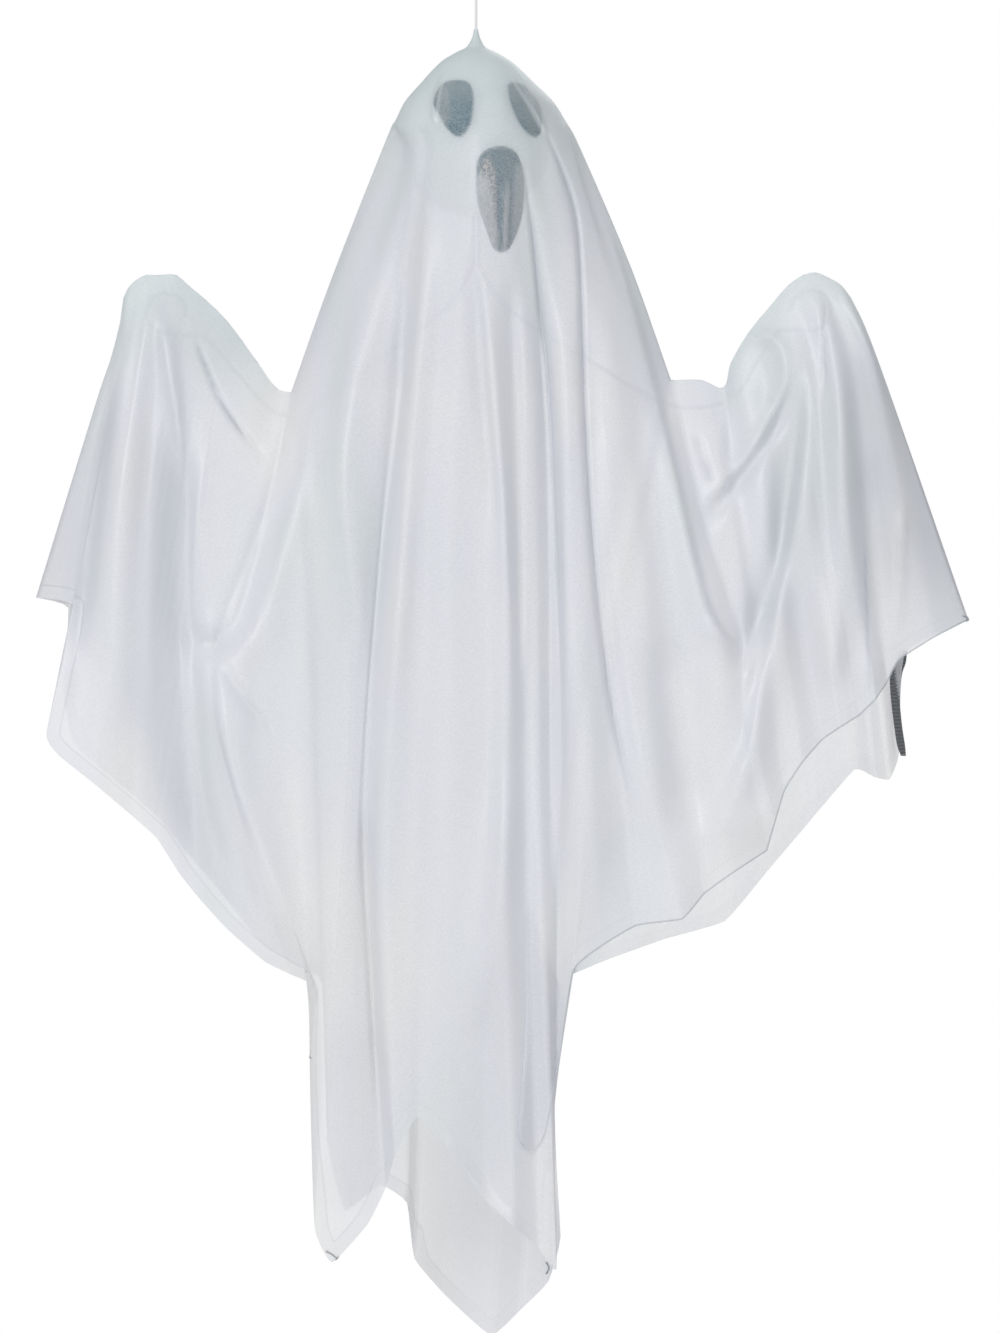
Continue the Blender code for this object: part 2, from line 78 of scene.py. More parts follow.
# Camera, floor and light
CAMERA_DISTANCE = 5.0
CAMERA = Vector(((PHOTO_WIDTH / 2 - PHOTO_CORD) * PIXEL, -CAMERA_DISTANCE,
                 -HEAD_TOP_DROP - (PHOTO_HEIGHT / 2 - PHOTO_HEAD_TOP) * PIXEL))
FLOOR_DROP = 1.0
SKY_LIGHT = 0.45         # strength of the white all round, as a light
SKY_SEEN = 1.0           # and as the camera sees it
LIGHT_TARGET = Vector((0, 0, -0.3))
LIGHTS = [               # name, place, size, power
    ("key", (-1.0, -2.5, 1.25), 1.3, 58),
    ("fill", (2.2, -1.8, 0.2), 1.6, 9),
    ("rim", (0.6, 2.2, 1.0), 1.2, 12),
]

# How the cloth hangs
PEAK_RADIUS = 0.8 * MM
PEAK_WAIST = 0.7         # of the gathered point, as a share of its ends' mean width
FACE_END = 82 * MM       # drop of the mouth's foot, where the folds begin
NECK_SLOPE = 0.4         # how steeply the cloth leaves the head
SIDE_FADE = 4            # how far towards the body's sides its folds keep their height
SEAM_REACH = 5 * MM      # depth that a crest needs to stand out in full
PUSH_REACH = 12 * MM     # and that a valley needs
BACK_BULGE = 3           # how far the lines of the wings' back bow out, in millimetres
FOLD_SHARE = 0.45        # of the construction's fold heights; STROKES add the rest
STROKE_GAIN = 1.7
STROKE_POWER = 1.8       # how sharp a stroke's flanks are
FADE = 0.26              # share of a line's length over which it starts and ends
FELT = 3                 # a line is felt as far away as this times its reach
FAR = 1e9

# Ripples: seed, height and pitch in millimetres, and how they vary
RIPPLES = [(5, 0.3, 12.0), (15, 0.07, 3.0)]
RIPPLE_WAVES = 10
RIPPLE_PITCHES = (0.6, 1.7)  # shares of the pitch
RIPPLE_LENGTHS = (120, 400)  # over which a wave comes and goes, in millimetres
RIPPLE_LEAN = 0.02
RIPPLE_FLARE = 0.0009    # by which the waves widen for each millimetre down

# Share of the light that goes straight through the cloth
LOOSE_CLEAR = 0.27       # through one layer, hanging
GLUED_CLEAR = 0.76       # where it is glued flat to a patch
GLUE_MARGIN = 1.2 * MM
SINGLE_CLEAR = 0.18      # more of it through the wings' back, which hangs single
SINGLE_LEFT = 62 * MM    # where that begins, left and right of the cord
SINGLE_RIGHT = 35 * MM
SINGLE_BLEND = 15 * MM
SHADED_CLEAR = 0.4       # less of it along the lines of painted shade
# the most painted shade that any point gets
DARKEST_PAINTED_SHADE = 0.6

# The stitched hem, and a painted shadow line along the front's edge
HEM_WIDTH = 5 * MM
HEM_BLUR = 0.3           # of the band's inner border, in millimetres
SEAM_WIDTH = 0.6         # of the line stitched along it, in millimetres
SEAM_DARK = 0.3
HEM_CLOSED = 0.35        # how much less see-through the band is
EDGE_SHADOW = (0.9, 0.4)   # the painted shadow line along the front's edge starts and is full this far in, in millimetres
# how dark that painted shadow line is
EDGE_SHADOW_DARK = 0.75
BAND_END = -48 * MM      # right of this the front's band is faint
BAND_LOSS = 0.8
TAIL_LEFT = -72 * MM     # the band behind is full from here to the cord
BACK_BAND = 0.25         # and this faint beside it
SHADOW_LINE_START = 26 * MM     # right of this the front's edge has its painted shadow line
BAND_BLEND = 12 * MM

# Colours and surfaces
CLOTH_TONES = [(0.36, (0.755, 0.79, 0.81)), (0.5, (0.79, 0.802, 0.85)),
               (0.64, (0.83, 0.835, 0.84))]
# a darker, greener tint over the head and the hands
HEAD_AND_HAND_TINT_COLOUR = (0.72, 0.79, 0.80)
# painted shade: the dark blue-grey that folds and creases are turned towards
PAINTED_SHADE_COLOUR = (0.43, 0.46, 0.52)
# the colour of the stitched seam, and of the painted shadow line along the front's edge
SEAM_AND_SHADOW_COLOUR = (0.36, 0.39, 0.43)
# painted light: the pale colour that the patches' lit specks turn to
PAINTED_LIGHT_COLOUR = (0.5, 0.43, 0.39)
GLOW_SHARE = 0.38        # of the cloth's light that shines through its threads
WEAVE_SCALE = 1800
WEAVE_STRETCH = 0.55
WEAVE_GAPS = 0.5         # how much the weave changes what goes straight through
TONE_SCALE = 22
TONE_STRETCH = 0.35
SPECK_SCALE = 1300
SPECK_RANGE = (0.42, 0.6)
GRAIN_TONES = (0.85, 1.1)  # darkest and lightest grain, as shares of its colour

# Resolution of the cloth
FRONT_STEPS = 7
BACK_STEPS = 4
CLOSE_STEPS = 18
CURVE_STEPS = 16         # between the points of a curve that is measured
DRAWN_STEPS = 6          # and of a line on the photo
UPPER_ROWS = 78
UPPER_CROWDING = 1.25    # how much closer the rows are at the neck
LOWER_ROWS = 106
LOWER_CROWDING = 1.3     # and at the waist
HEAD_ROWS = 42
RIM_STEPS = 8
HEM_SLACK = 0.4          # how loosely the hem turns at its corners
HEM_ROWS = 0.16          # share of the rows over which they sharpen
WELD = 0.02 * MM
# Lines with closer steps round them, counted from the left of each front sheet
CRISP_LINES = {"left": [7, 8], "body": [14, 16], "right": [5]}
# Share of its depth that the right wing keeps at these lines, counted the same way
RIGHT_TAPER = {8: 0.88, 9: 0.72, 10: 0.5}

# Head cloth, drop and half width in head radii
HEAD_PROFILE = [(0.03, 0.13), (0.09, 0.25), (0.2, 0.44), (0.33, 0.587), (0.5, 0.75),
                (0.75, 0.985), (1.02, 1.14)]

# The folds and hems below are in millimetres right of the cord and below the top of the head.

# Front of the body: bearing round the head in degrees, height of the fold in millimetres,
# then its line from the neck through the waist, which is the third point, to the hem
BODY_FOLDS = [
    (-90, 0, [(-36, 38), (-58, 94), (-74, 139), (-83, 182), (-102, 234), (-105, 258), (-99, 290),
      (-74, 371)]),
    (-80, 3, [(-33, 42), (-52, 88), (-69, 139), (-82, 202), (-97, 244), (-97, 270), (-91, 302),
      (-63, 377)]),
    (-71, -2, [(-30, 48), (-50, 106), (-60, 138), (-70, 206), (-74, 242), (-74, 278), (-67, 358),
      (-66, 406)]),
    (-60, 3, [(-27, 50), (-42, 106), (-50, 138), (-54, 190), (-53, 262), (-57, 342), (-64, 471)]),
    (-54, 1, [(-25, 48), (-35, 106), (-40, 138), (-45, 206), (-50, 286), (-55, 366), (-57, 485)]),
    (-50, -2, [(-23, 47), (-32, 106), (-35, 138), (-40, 206), (-46, 286), (-49, 362), (-43, 470)]),
    (-46, -6, [(-20, 46), (-28, 106), (-30, 138), (-37, 202), (-43, 286), (-43, 350), (-36, 456)]),
    (-36, 4, [(-16, 46), (-22, 106), (-26, 138), (-31, 206), (-35, 278), (-37, 350), (-32, 442)]),
    (-24, -1, [(-9, 46), (-14, 106), (-17, 138), (-22, 214), (-25, 334), (-23, 427)]),
    (-13, 2, [(-3, 46), (-6, 102), (-7, 138), (-9, 230), (-10, 326), (-11, 439)]),
    (-5, -1.5, [(1, 50), (-1, 114), (1, 140), (4, 222), (4, 326), (3, 459)]),
    (4, 4, [(5, 50), (6, 114), (8, 142), (13, 222), (12, 326), (15, 470)]),
    (12, -6, [(10, 50), (15, 114), (17, 142), (19, 230), (20, 326), (25, 479)]),
    (20, -1, [(14, 48), (21, 114), (23, 142), (25, 230), (26, 326), (32, 487)]),
    (29, -8, [(20, 48), (26, 108), (29, 142), (33, 230), (33, 326), (31, 426)]),
    (42, 6, [(26, 48), (33, 106), (35, 138), (37, 230), (41, 322), (39, 369)]),
    (51, -4, [(32, 50), (42, 104), (44, 136), (48, 198), (56, 270), (63, 352)]),
    (61, 4, [(37, 54), (49, 106), (53, 136), (57, 210), (66, 278), (82, 349)]),
    (71, 0, [(42, 56), (57, 110), (63, 137), (74, 202), (83, 266), (91, 339)]),
    (80, 5, [(44, 57), (62, 107), (71, 139), (85, 196), (95, 235), (95, 262), (94, 290), (102, 331)]),
    (90, 0, [(42, 42), (62, 89), (78, 134), (91, 190), (100, 218), (106, 239), (106, 270), (116, 322)]),
]

# Front of the wings: height of the fold, line from the arm to the hem
LEFT_WING_FOLDS = [
    (0, [(-141, 101), (-144, 119), (-152, 143), (-176, 221)]),
    (-7, [(-139, 97), (-142, 122), (-148, 152), (-160, 225)]),
    (-1, [(-136, 94), (-139, 122), (-148, 165), (-171, 275)]),
    (1, [(-132, 92), (-136, 126), (-145, 180), (-166, 284)]),
    (3, [(-127, 92), (-133, 126), (-141, 190), (-151, 296)]),
    (-2, [(-120, 92), (-127, 122), (-134, 200), (-137, 308)]),
    (1, [(-114, 97), (-122, 128), (-129, 200), (-127, 317)]),
    (1, [(-108, 102), (-116, 136), (-124, 220), (-118, 331)]),
    (-1, [(-99, 111), (-108, 145), (-119, 225), (-110, 341)]),
    (0, [(-88, 126), (-98, 156), (-114, 225), (-115, 262), (-99, 353)]),
    (0, [(-80, 137), (-88, 165), (-108, 235), (-110, 262), (-104, 290), (-84, 366)]),
]
RIGHT_WING_FOLDS = [
    (1, [(90, 134), (95, 160), (107, 225), (110, 270), (119, 311)]),
    (-3, [(99, 137), (103, 165), (111, 215), (123, 298)]),
    (2, [(102, 127), (112, 160), (118, 210), (130, 287)]),
    (-4, [(109, 115), (119, 145), (124, 200), (138, 278)]),
    (4, [(118, 104), (128, 134), (132, 190), (145, 273)]),
    (-1, [(125, 96), (136, 130), (140, 190), (153, 268)]),
    (4, [(131, 92), (143, 126), (148, 185), (159, 262)]),
    (-5, [(136, 91), (149, 126), (155, 180), (164, 255)]),
    (-2, [(141, 93), (154, 128), (161, 175), (169, 246)]),
    (3, [(146, 96), (159, 128), (169, 175), (183, 237)]),
    (0, [(150, 101), (157, 116), (170, 152), (197, 230)]),
]

# Hem of the cloth behind, left to right, one point for each line of the back
LEFT_WING_BACK_HEM = [
    (-164, 225), (-166, 258), (-162, 279), (-149, 291), (-136, 302), (-126, 311), (-115, 325),
    (-106, 335), (-96, 348), (-86, 360)
]
BODY_BACK_HEM = [
    (-73, 368), (-62, 376), (-60, 440), (-53, 468), (-39, 458), (-28, 465), (-25, 488), (-12, 503),
    (6, 519), (18, 508), (29, 497), (34, 478), (31, 428), (39, 372)
]
# Where lines of the body's back bend on their way to the hem
BACK_BENDS = {10: [(34, 308)], 11: [(38, 300), (29, 420)], 12: [(40, 300)]}
RIGHT_WING_BACK_HEM = [
    (54, 366), (76, 358), (100, 351), (116, 332), (134, 311), (152, 290), (160, 293), (166, 294),
    (170, 284), (172, 243)
]

# From here on, lines are in the photo's pixels and other lengths in millimetres.

# Creases that are both pushed in and darkened with painted shade
CHEEK_CREASE = [
    (524, 158), (528, 197), (533, 243), (539, 303), (547, 363), (552, 437), (557, 553), (560, 660),
    (562, 760)
]
BROW_CREASE = [
    (542, 124), (554, 150), (565, 179), (575, 215), (580, 270), (585, 430), (595, 580), (610, 700),
    (627, 780), (642, 870)
]
ELBOW_CREASE = [(193, 331), (205, 365), (220, 400), (240, 430), (273, 466)]
SHOULDER_CREASE = [(697, 430), (704, 458), (712, 485)]
HAND_CREASE = [(825, 290), (824, 345), (826, 400)]

# Folds laid over the front: height, negative for a valley, reach left and right, line
STROKES = [
    (-2.6, 7, 3, [(415, 170), (408, 250), (404, 330), (400, 400), (390, 480), (380, 560), (372, 650),
      (366, 760)]),
    (2.5, 2.5, 6, [(430, 150), (422, 300), (411, 450), (398, 620), (385, 770)]),
    (2.5, 5, 8, [(375, 230), (347, 400), (342, 480), (358, 600), (364, 680)]),
    (-2, 1, 4, [(363, 800), (363, 850), (368, 940), (374, 1040), (380, 1140)]),
    (-2, 4, 2, [(470, 240), (480, 330), (485, 400), (492, 470), (500, 560)]),
    (1.5, 2.5, 3, [(480, 250), (495, 400), (503, 520), (508, 640)]),
    (-1.3, 3, 3, [(508, 260), (515, 400), (520, 600), (521, 700)]),
    (1.5, 2, 2.5, [(520, 280), (524, 400), (525, 600), (524, 700)]),
    (-4.6, 11, 3.5, [(527, 180), (534, 250), (541, 370), (546, 450), (549, 600), (549, 800),
      (551, 980)]),
    (-1.7, 0.9, 1.2, CHEEK_CREASE),
    (3.6, 8, 9, [(568, 230), (576, 400), (583, 560), (592, 800), (596, 940)]),
    (5, 16, 11, [(590, 230), (618, 400), (640, 600), (652, 760), (660, 860)]),
    (-2, 1, 1.2, BROW_CREASE),
    (5, 10, 1.2, [(600, 195), (630, 300), (657, 400), (680, 500), (700, 590), (710, 615), (725, 637),
      (738, 637)]),
    (1.4, 3, 1.2, [(440, 1140), (470, 1170), (500, 1212), (545, 1250)]),
    (3, 8, 6, [(512, 750), (498, 880), (488, 960), (480, 1040)]),
    (-3.3, 4, 5, [(306, 385), (290, 450), (273, 515), (258, 562), (246, 600), (235, 626), (221, 641),
      (207, 643), (194, 632), (186, 600)]),
    (1, 2, 2, [(197, 650), (194, 600), (194, 550), (198, 500), (203, 450)]),
    (4, 20, 14, [(192, 600), (206, 680), (222, 770), (245, 860), (275, 930), (310, 1000)]),
    (5, 14, 18, [(722, 610), (736, 680), (748, 750), (760, 810), (768, 860)]),
    (2.5, 2.5, 9, [(314, 400), (300, 480), (286, 540), (270, 594), (255, 628), (240, 648), (222, 662)]),
    (3, 3, 4, [(158, 300), (168, 360), (178, 420), (186, 480)]),
    (-1.8, 0.9, 1.1, ELBOW_CREASE),
    (-3.8, 8, 4, [(115, 350), (103, 440), (88, 560), (72, 680)]),
    (2.5, 8, 12, [(130, 400), (122, 500), (120, 620), (124, 740)]),
    (-4, 15, 4, [(178, 340), (184, 450), (188, 560), (192, 680), (204, 800), (232, 890)]),
    (3, 4, 12, [(212, 650), (224, 730), (240, 800), (262, 880), (290, 960)]),
    (-1.6, 2, 2, [(214, 655), (236, 686), (262, 722), (270, 735)]),
    (2, 3, 3, [(735, 378), (738, 350), (752, 336), (770, 337), (782, 352), (784, 380), (770, 420),
      (745, 458), (716, 492), (700, 520)]),
    (-2.5, 3, 3, [(795, 380), (775, 425), (748, 468), (722, 500), (704, 532)]),
    (-4, 6, 3, [(800, 350), (798, 420), (788, 500), (772, 580), (750, 640), (724, 690)]),
    (3.5, 2.5, 8, [(812, 395), (802, 480), (789, 560), (765, 670), (750, 745), (728, 800), (700, 850)]),
    (-3, 10, 10, [(664, 630), (668, 700), (680, 770), (704, 840)]),
    (-1.2, 1, 1, SHOULDER_CREASE),
    (-1, 1, 1.5, HAND_CREASE),
    (3, 6, 6, [(842, 340), (840, 480), (838, 620), (830, 700)]),
    (-2, 4, 8, [(862, 450), (865, 560), (868, 680)]),
    (1.2, 1.2, 2, [(903, 490), (900, 570), (897, 640)]),
    (0.9, 0.8, 1, [(514, 62), (524, 84), (536, 108), (548, 136)]),
    (0.8, 1, 0.8, [(446, 70), (438, 88), (434, 108), (434, 130)]),
    (0.9, 1, 0.8, [(505, 180), (505, 210), (503, 250)]),
]

# The fold in front of the right tail: down, left edge, right edge
FLAP = [
    (905, 527, 530), (930, 526, 537), (960, 526, 550), (1000, 526, 563), (1040, 525, 560),
    (1080, 522, 554), (1110, 520, 549), (1130, 518, 545), (1142, 520, 540), (1149, 526, 534)
]
FLAP_ROWS, FLAP_COLUMNS = 70, 16
FLAP_LIFT = 2.6 * MM
FLAP_TILT = 0.6          # how much less its right side lifts
FLAP_GAP = 0.3 * MM

# A ribbed strip beside the right hem, drawn the same way: the hem's rolled reverse, made dark as a
# painted shadow
SHADOWED_HEM_ROLL = [
    (650, 902, 907), (662, 896, 906), (675, 890, 902), (700, 891, 900), (725, 894, 902),
    (745, 897, 905), (756, 901, 906)
]
SHADOWED_HEM_ROLL_ROWS = 61
SHADOWED_HEM_ROLL_ANCHOR = 890        # the strip hangs as far forward as the cloth behind is here
SHADOWED_HEM_ROLL_GAP = 0.6 * MM
SHADOWED_HEM_ROLL_RIB = 1.0 * MM
FABRIC_THICKNESS = 0.3 * MM  # of the strip and of the patches

# The cloth's sheets, in the order in which they are built
LEFT_FRONT, BODY_FRONT, RIGHT_FRONT, LEFT_BACK, BODY_BACK, RIGHT_BACK = range(6)

# Loose threads: the sheet that each hangs on, and its line
THREADS = [
    (RIGHT_FRONT, [(963, 616), (969, 618), (971, 623), (966, 625)]),
    (BODY_FRONT, [(306, 1048), (309, 1052), (307, 1056), (311, 1058)]),
    (BODY_FRONT, [(326, 1251), (333, 1255), (338, 1260), (334, 1263), (341, 1266)]),
    (BODY_BACK, [(546, 1262), (549, 1268), (546, 1274)]),
]
THREAD_RADIUS = 0.3 * MM
THREAD_POINTS = 12

# Where the cloth over the face is less see-through: how much, how soft its border is, outline
VEILS = [
    (0.2, 2, [(514, 80), (525, 98), (542, 127), (550, 112), (540, 92), (527, 80)]),
    (0.12, 3, [(472, 150), (500, 142), (528, 152), (528, 205), (503, 256), (474, 205)]),
    (0.3, 3, [(472, 182), (482, 178), (488, 190), (491, 215), (494, 235), (493, 250), (484, 240),
      (472, 205)]),
    (0.18, 2.5, [(518, 168), (527, 168), (528, 205), (520, 236), (515, 240), (516, 205)]),
]

# Where it lies double there: how much less see-through, half width, line
DOUBLED = [
    (0.3, 0.8, [(508, 70), (514, 82), (524, 97), (534, 113), (542, 129), (548, 140)]),
    (0.4, 0.7, [(446, 74), (441, 88), (438, 104), (437, 124)]),
    (0.4, 0.9, [(508, 176), (507, 200), (506, 220), (505, 240), (503, 262)]),
]
DOUBLED_POWER = 4        # how sharp the border of the doubled cloth is

# Painted shade: where the cloth's colour is darkened for the shade where it lies double and along its
# creases: how much, its reach, line
PAINTED_SHADES = [
    (0.34, 10, [(160, 300), (162, 420), (164, 520), (164, 620), (158, 720), (172, 790), (205, 855),
      (240, 915)]),
    (0.25, 5, [(118, 360), (110, 420), (102, 480), (88, 560), (78, 630), (70, 710)]),
    (0.14, 16, [(132, 300), (170, 320), (210, 345), (250, 380)]),
    (0.32, 16, [(855, 280), (872, 370), (886, 440), (896, 500), (906, 560), (916, 640)]),
    (0.1, 6, [(862, 430), (868, 500), (870, 580), (872, 660)]),
    (0.12, 18, [(790, 330), (800, 420), (805, 520), (790, 640), (770, 760)]),
    (0.12, 14, [(350, 1000), (352, 1080), (350, 1160), (345, 1230)]),
    (0.12, 16, [(505, 860), (500, 960), (495, 1050), (480, 1150), (470, 1230), (490, 1300)]),
    (0.5, 0.5, ELBOW_CREASE),
    (0.4, 0.5, CHEEK_CREASE),
    (0.4, 0.5, BROW_CREASE),
    (0.4, 0.5, SHOULDER_CREASE),
    (0.35, 0.5, HAND_CREASE),
    (0.4, 0.6, [(864, 520), (866, 590), (868, 660), (872, 700)]),
]

# The face: the outline of each dark patch behind the cloth
FACE = {
    "left_eye": [(433, 102), (436, 92), (442, 84), (450, 81), (459, 80), (467, 82), (471, 87),
      (473, 98), (472, 113), (470, 124), (465, 132), (459, 136), (452, 133), (445, 125), (440, 115),
      (435, 108)],
    "right_eye": [(508, 86), (513, 82), (520, 84), (527, 87), (533, 94), (538, 102), (541, 111),
      (542, 122), (541, 131), (537, 136), (531, 135), (523, 128), (516, 116), (510, 100)],
    "mouth": [(477, 167), (479, 159), (484, 152), (493, 148), (501, 147), (508, 148), (515, 152),
      (521, 163), (524, 180), (523, 207), (519, 227), (513, 242), (508, 249), (503, 251), (498, 250),
      (493, 245), (487, 228), (480, 207), (477, 187)],
}
PATCH_RINGS, PATCH_SIDES = 10, 64
PATCH_GAP = 0.7 * MM
PATCH_MARGIN = 0.6 * MM  # by which a patch runs on past its outline

# Painted light: where a patch is turned pale in specks, for light off the doubled cloth over it: how
# much, how soft the border is, outline
PAINTED_LIGHT_AREAS = [
    (0.95, 1.2, [(479, 166), (487, 158), (493, 164), (496, 185), (497, 235), (494, 246), (488, 236),
      (481, 205)]),
    (0.45, 1.5, [(436, 94), (444, 86), (449, 96), (450, 118), (445, 124), (438, 110)]),
    (0.3, 1.5, [(522, 86), (533, 95), (540, 110), (541, 124), (535, 120), (526, 104)]),
    (0.3, 1.5, [(517, 172), (523, 176), (522, 205), (517, 232), (515, 205)]),
]

# Where the cloth takes a darker, greener tint over a hand: how much, its reach, line
HEAD_AND_HAND_TINT = [
    (0.8, 18, [(96, 380), (115, 330), (133, 296), (152, 283), (176, 285), (200, 300), (235, 338),
      (262, 372), (290, 392)]),
    (0.6, 14, [(700, 382), (722, 372), (748, 318), (780, 283), (815, 270), (850, 292), (872, 330),
      (900, 420)]),
]


# Camera

def make_camera():
    data = bpy.data.cameras.new("camera")
    data.sensor_fit = "AUTO"
    data.sensor_width = 36.0
    data.lens = data.sensor_width * CAMERA_DISTANCE / (PHOTO_HEIGHT * PIXEL)
    data.clip_end = 60.0
    camera = bpy.data.objects.new("camera", data)
    bpy.context.scene.collection.objects.link(camera)
    camera.location = CAMERA
    camera.rotation_euler = (math.radians(90), 0, 0)
    bpy.context.scene.camera = camera


# Curves and helpers

def ease(value):
    """From nought to 1 as the value goes there, with a soft start and end."""
    value = np.clip(value, 0.0, 1.0)
    return value * value * (3 - 2 * value)


def through(points, count, close=(), slack=1.0, before=None):
    """A curve through the points, with count steps from each to the next.

    There are more steps beside the points in close. With less slack it runs straighter and
    turns more sharply at the points. Before is a point that it comes from.
    """
    knots = np.array(points, float)
    before = 2 * knots[0] - knots[1] if before is None else before
    knots = np.vstack([before, knots, 2 * knots[-1] - knots[-2]])
    runs = []
    for k in range(1, len(knots) - 2):
        a, b, c, d = knots[k - 1:k + 3]
        steps = CLOSE_STEPS if k - 1 in close or k in close else count
        t = (np.arange(steps) / steps)[:, None]
        leave, arrive = slack * (c - a) / 2, slack * (d - b) / 2
        runs.append(b + leave * t + (3 * (c - b) - 2 * leave - arrive) * t ** 2
                    + (2 * (b - c) + leave + arrive) * t ** 3)
    return np.vstack(runs + [knots[-2]])


def spline(points, steps, before=None):
    """Points at these shares of the length of a smooth curve."""
    fine = through(points, CURVE_STEPS, before=before)
    reach = np.concatenate([[0], np.cumsum(np.linalg.norm(np.diff(fine, axis=0), axis=1))])
    steps = np.asarray(steps) * reach[-1]
    return np.stack([np.interp(steps, reach, fine[:, k]) for k in range(fine.shape[1])], 1)


def link(name, data, material, body="root"):
    obj = bpy.data.objects.new(name, data)
    bpy.context.scene.collection.objects.link(obj)
    data.materials.append(material)
    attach(obj, body)
    return obj


# Cloth

WAIST = BODY_FOLDS[0][2][2][1] * MM


def wing_depth(below):
    return WING_DEPTH * (1 - np.exp(-below / WING_SETTLE))


def body_depth(drop):
    neck_drop, neck = (HEAD_RADIUS * value for value in HEAD_PROFILE[-1])
    length = WAIST - neck_drop
    share = np.clip((drop - neck_drop) / length, 0, 1)
    above = neck + (BODY_DEPTH - neck) * ease(share)
    above = above + NECK_SLOPE * length * share * (1 - share) ** 2
    under = BODY_DEPTH + (HEM_DEPTH - BODY_DEPTH) * ease((drop - WAIST) / (CLOTH_DROP - WAIST))
    return np.where(drop < WAIST, above, under)


def fold_share(facing, drop, below):
    """Share of its height that a fold has at this drop, and this far below an arm."""
    side = 1 - (1 - facing ** 2) ** SIDE_FADE
    body = ease((drop - FACE_END) / (WAIST - FACE_END)) * side
    return np.maximum(body, ease(below / FOLD_START))


def head_line(bearing):
    """Points (x, drop, width) over the head, from the cord's hole to the neck."""
    first_drop, first_width = HEAD_PROFILE[0]
    middle = PEAK_WAIST * (PEAK_RADIUS + first_width * HEAD_RADIUS) / 2
    rows = [(-PEAK_HEIGHT, PEAK_RADIUS), ((first_drop * HEAD_RADIUS - PEAK_HEIGHT) / 2, middle)]
    rows += [(drop * HEAD_RADIUS, width * HEAD_RADIUS) for drop, width in HEAD_PROFILE]
    rows = spline(rows, np.linspace(0, 1, HEAD_ROWS))
    lean = HEAD_LEAN * ease(rows[:, 0] / HEAD_CENTRE_DROP)
    x = lean + rows[:, 1] * math.sin(bearing)
    return np.stack([x, rows[:, 0], rows[:, 1]], 1)


def line_rows(line, upper, bearing=None):
    """One fold line at the cloth's rows: columns x, drop, base depth, drop below the arm."""
    line = np.array(line, float) * MM
    rows = []
    if upper:
        head = head_line(bearing)
        rows.append(np.column_stack([head, np.zeros(len(head))]))
        steps = (np.arange(UPPER_ROWS + 1) / UPPER_ROWS) ** UPPER_CROWDING
        lead = head[-1, :2] - head[-2, :2]
        lead *= np.linalg.norm(line[0] - head[-1, :2]) / np.linalg.norm(lead)
        run = spline(np.vstack([head[-1:, :2], line[:3]]), steps, line[0] - 2 * lead)
        run = run[1:-1]
        rows.append(np.column_stack([run, body_depth(run[:, 1]), np.zeros(len(run))]))
        line = line[2:]
    steps = (np.arange(LOWER_ROWS + 1) / LOWER_ROWS) ** LOWER_CROWDING
    run = spline(line, steps)
    length = np.linalg.norm(np.diff(run, axis=0), axis=1).sum()
    rows.append(np.column_stack([run, body_depth(run[:, 1]), steps * length]))
    return np.vstack(rows)


def sheet_grid(lines, side, upper, steps, crisp=(), taper=None):
    """A grid of points for neighbouring fold lines, each (bearing, height, line).

    Side is -1 for the front and 1 for the back. Upper lines start on the head, others at an
    arm. The wings' outer edges lie in the frame's plane, where the front meets the back.
    """
    table = []
    for k, (degrees, height, line) in enumerate(lines):
        bearing = math.radians(degrees)
        x, drop, depth, below = line_rows(line, upper, bearing).T
        facing = max(math.cos(bearing), 0.0)
        wing = wing_depth(below)
        gain = 1 + (HEM_FOLD_GAIN - 1) * np.clip(drop / CLOTH_DROP, 0, 1)
        y = wing + (depth - wing) * facing
        y = y + FOLD_SHARE * height * MM * gain * fold_share(facing, drop, below)
        if taper and k in taper:
            y = y * (1 - (1 - taper[k]) * ease(below / WING_SETTLE))
        if line in (LEFT_WING_FOLDS[0][1], RIGHT_WING_FOLDS[-1][1]):
            y = 0 * y
        table.append(np.stack([x, side * y, -HEAD_TOP_DROP - drop], 1))
    table = np.array(table)
    flat = table.reshape(len(table), -1)
    soft = through(flat, steps, crisp).reshape(-1, *table.shape[1:])
    sharp = through(flat, steps, crisp, HEM_SLACK).reshape(soft.shape)
    row = np.arange(soft.shape[1]) / (soft.shape[1] - 1)
    near_hem = ease(1 - (1 - row) / HEM_ROWS)[None, :, None]
    return soft + (sharp - soft) * near_hem


def front_grids():
    (_, first, left_side), (_, last, right_side) = BODY_FOLDS[0], BODY_FOLDS[-1]
    left = [(90, *fold) for fold in LEFT_WING_FOLDS] + [(90, first, left_side[2:])]
    right = [(90, last, right_side[2:])] + [(90, *fold) for fold in RIGHT_WING_FOLDS]
    return [sheet_grid(left, -1, False, FRONT_STEPS, CRISP_LINES["left"]),
            sheet_grid(BODY_FOLDS, -1, True, FRONT_STEPS, CRISP_LINES["body"]),
            sheet_grid(right, -1, False, FRONT_STEPS, CRISP_LINES["right"], RIGHT_TAPER)]


def back_line(start, end, bulge):
    return [start, ((start[0] + end[0]) / 2 + bulge, (start[1] + end[1]) / 2), end]


def wing_back(hem, folds, bulge):
    return [(90, BACK_FOLD * (-1) ** k, back_line(fold[1][0], end, bulge))
            for k, (end, fold) in enumerate(zip(hem, folds))]


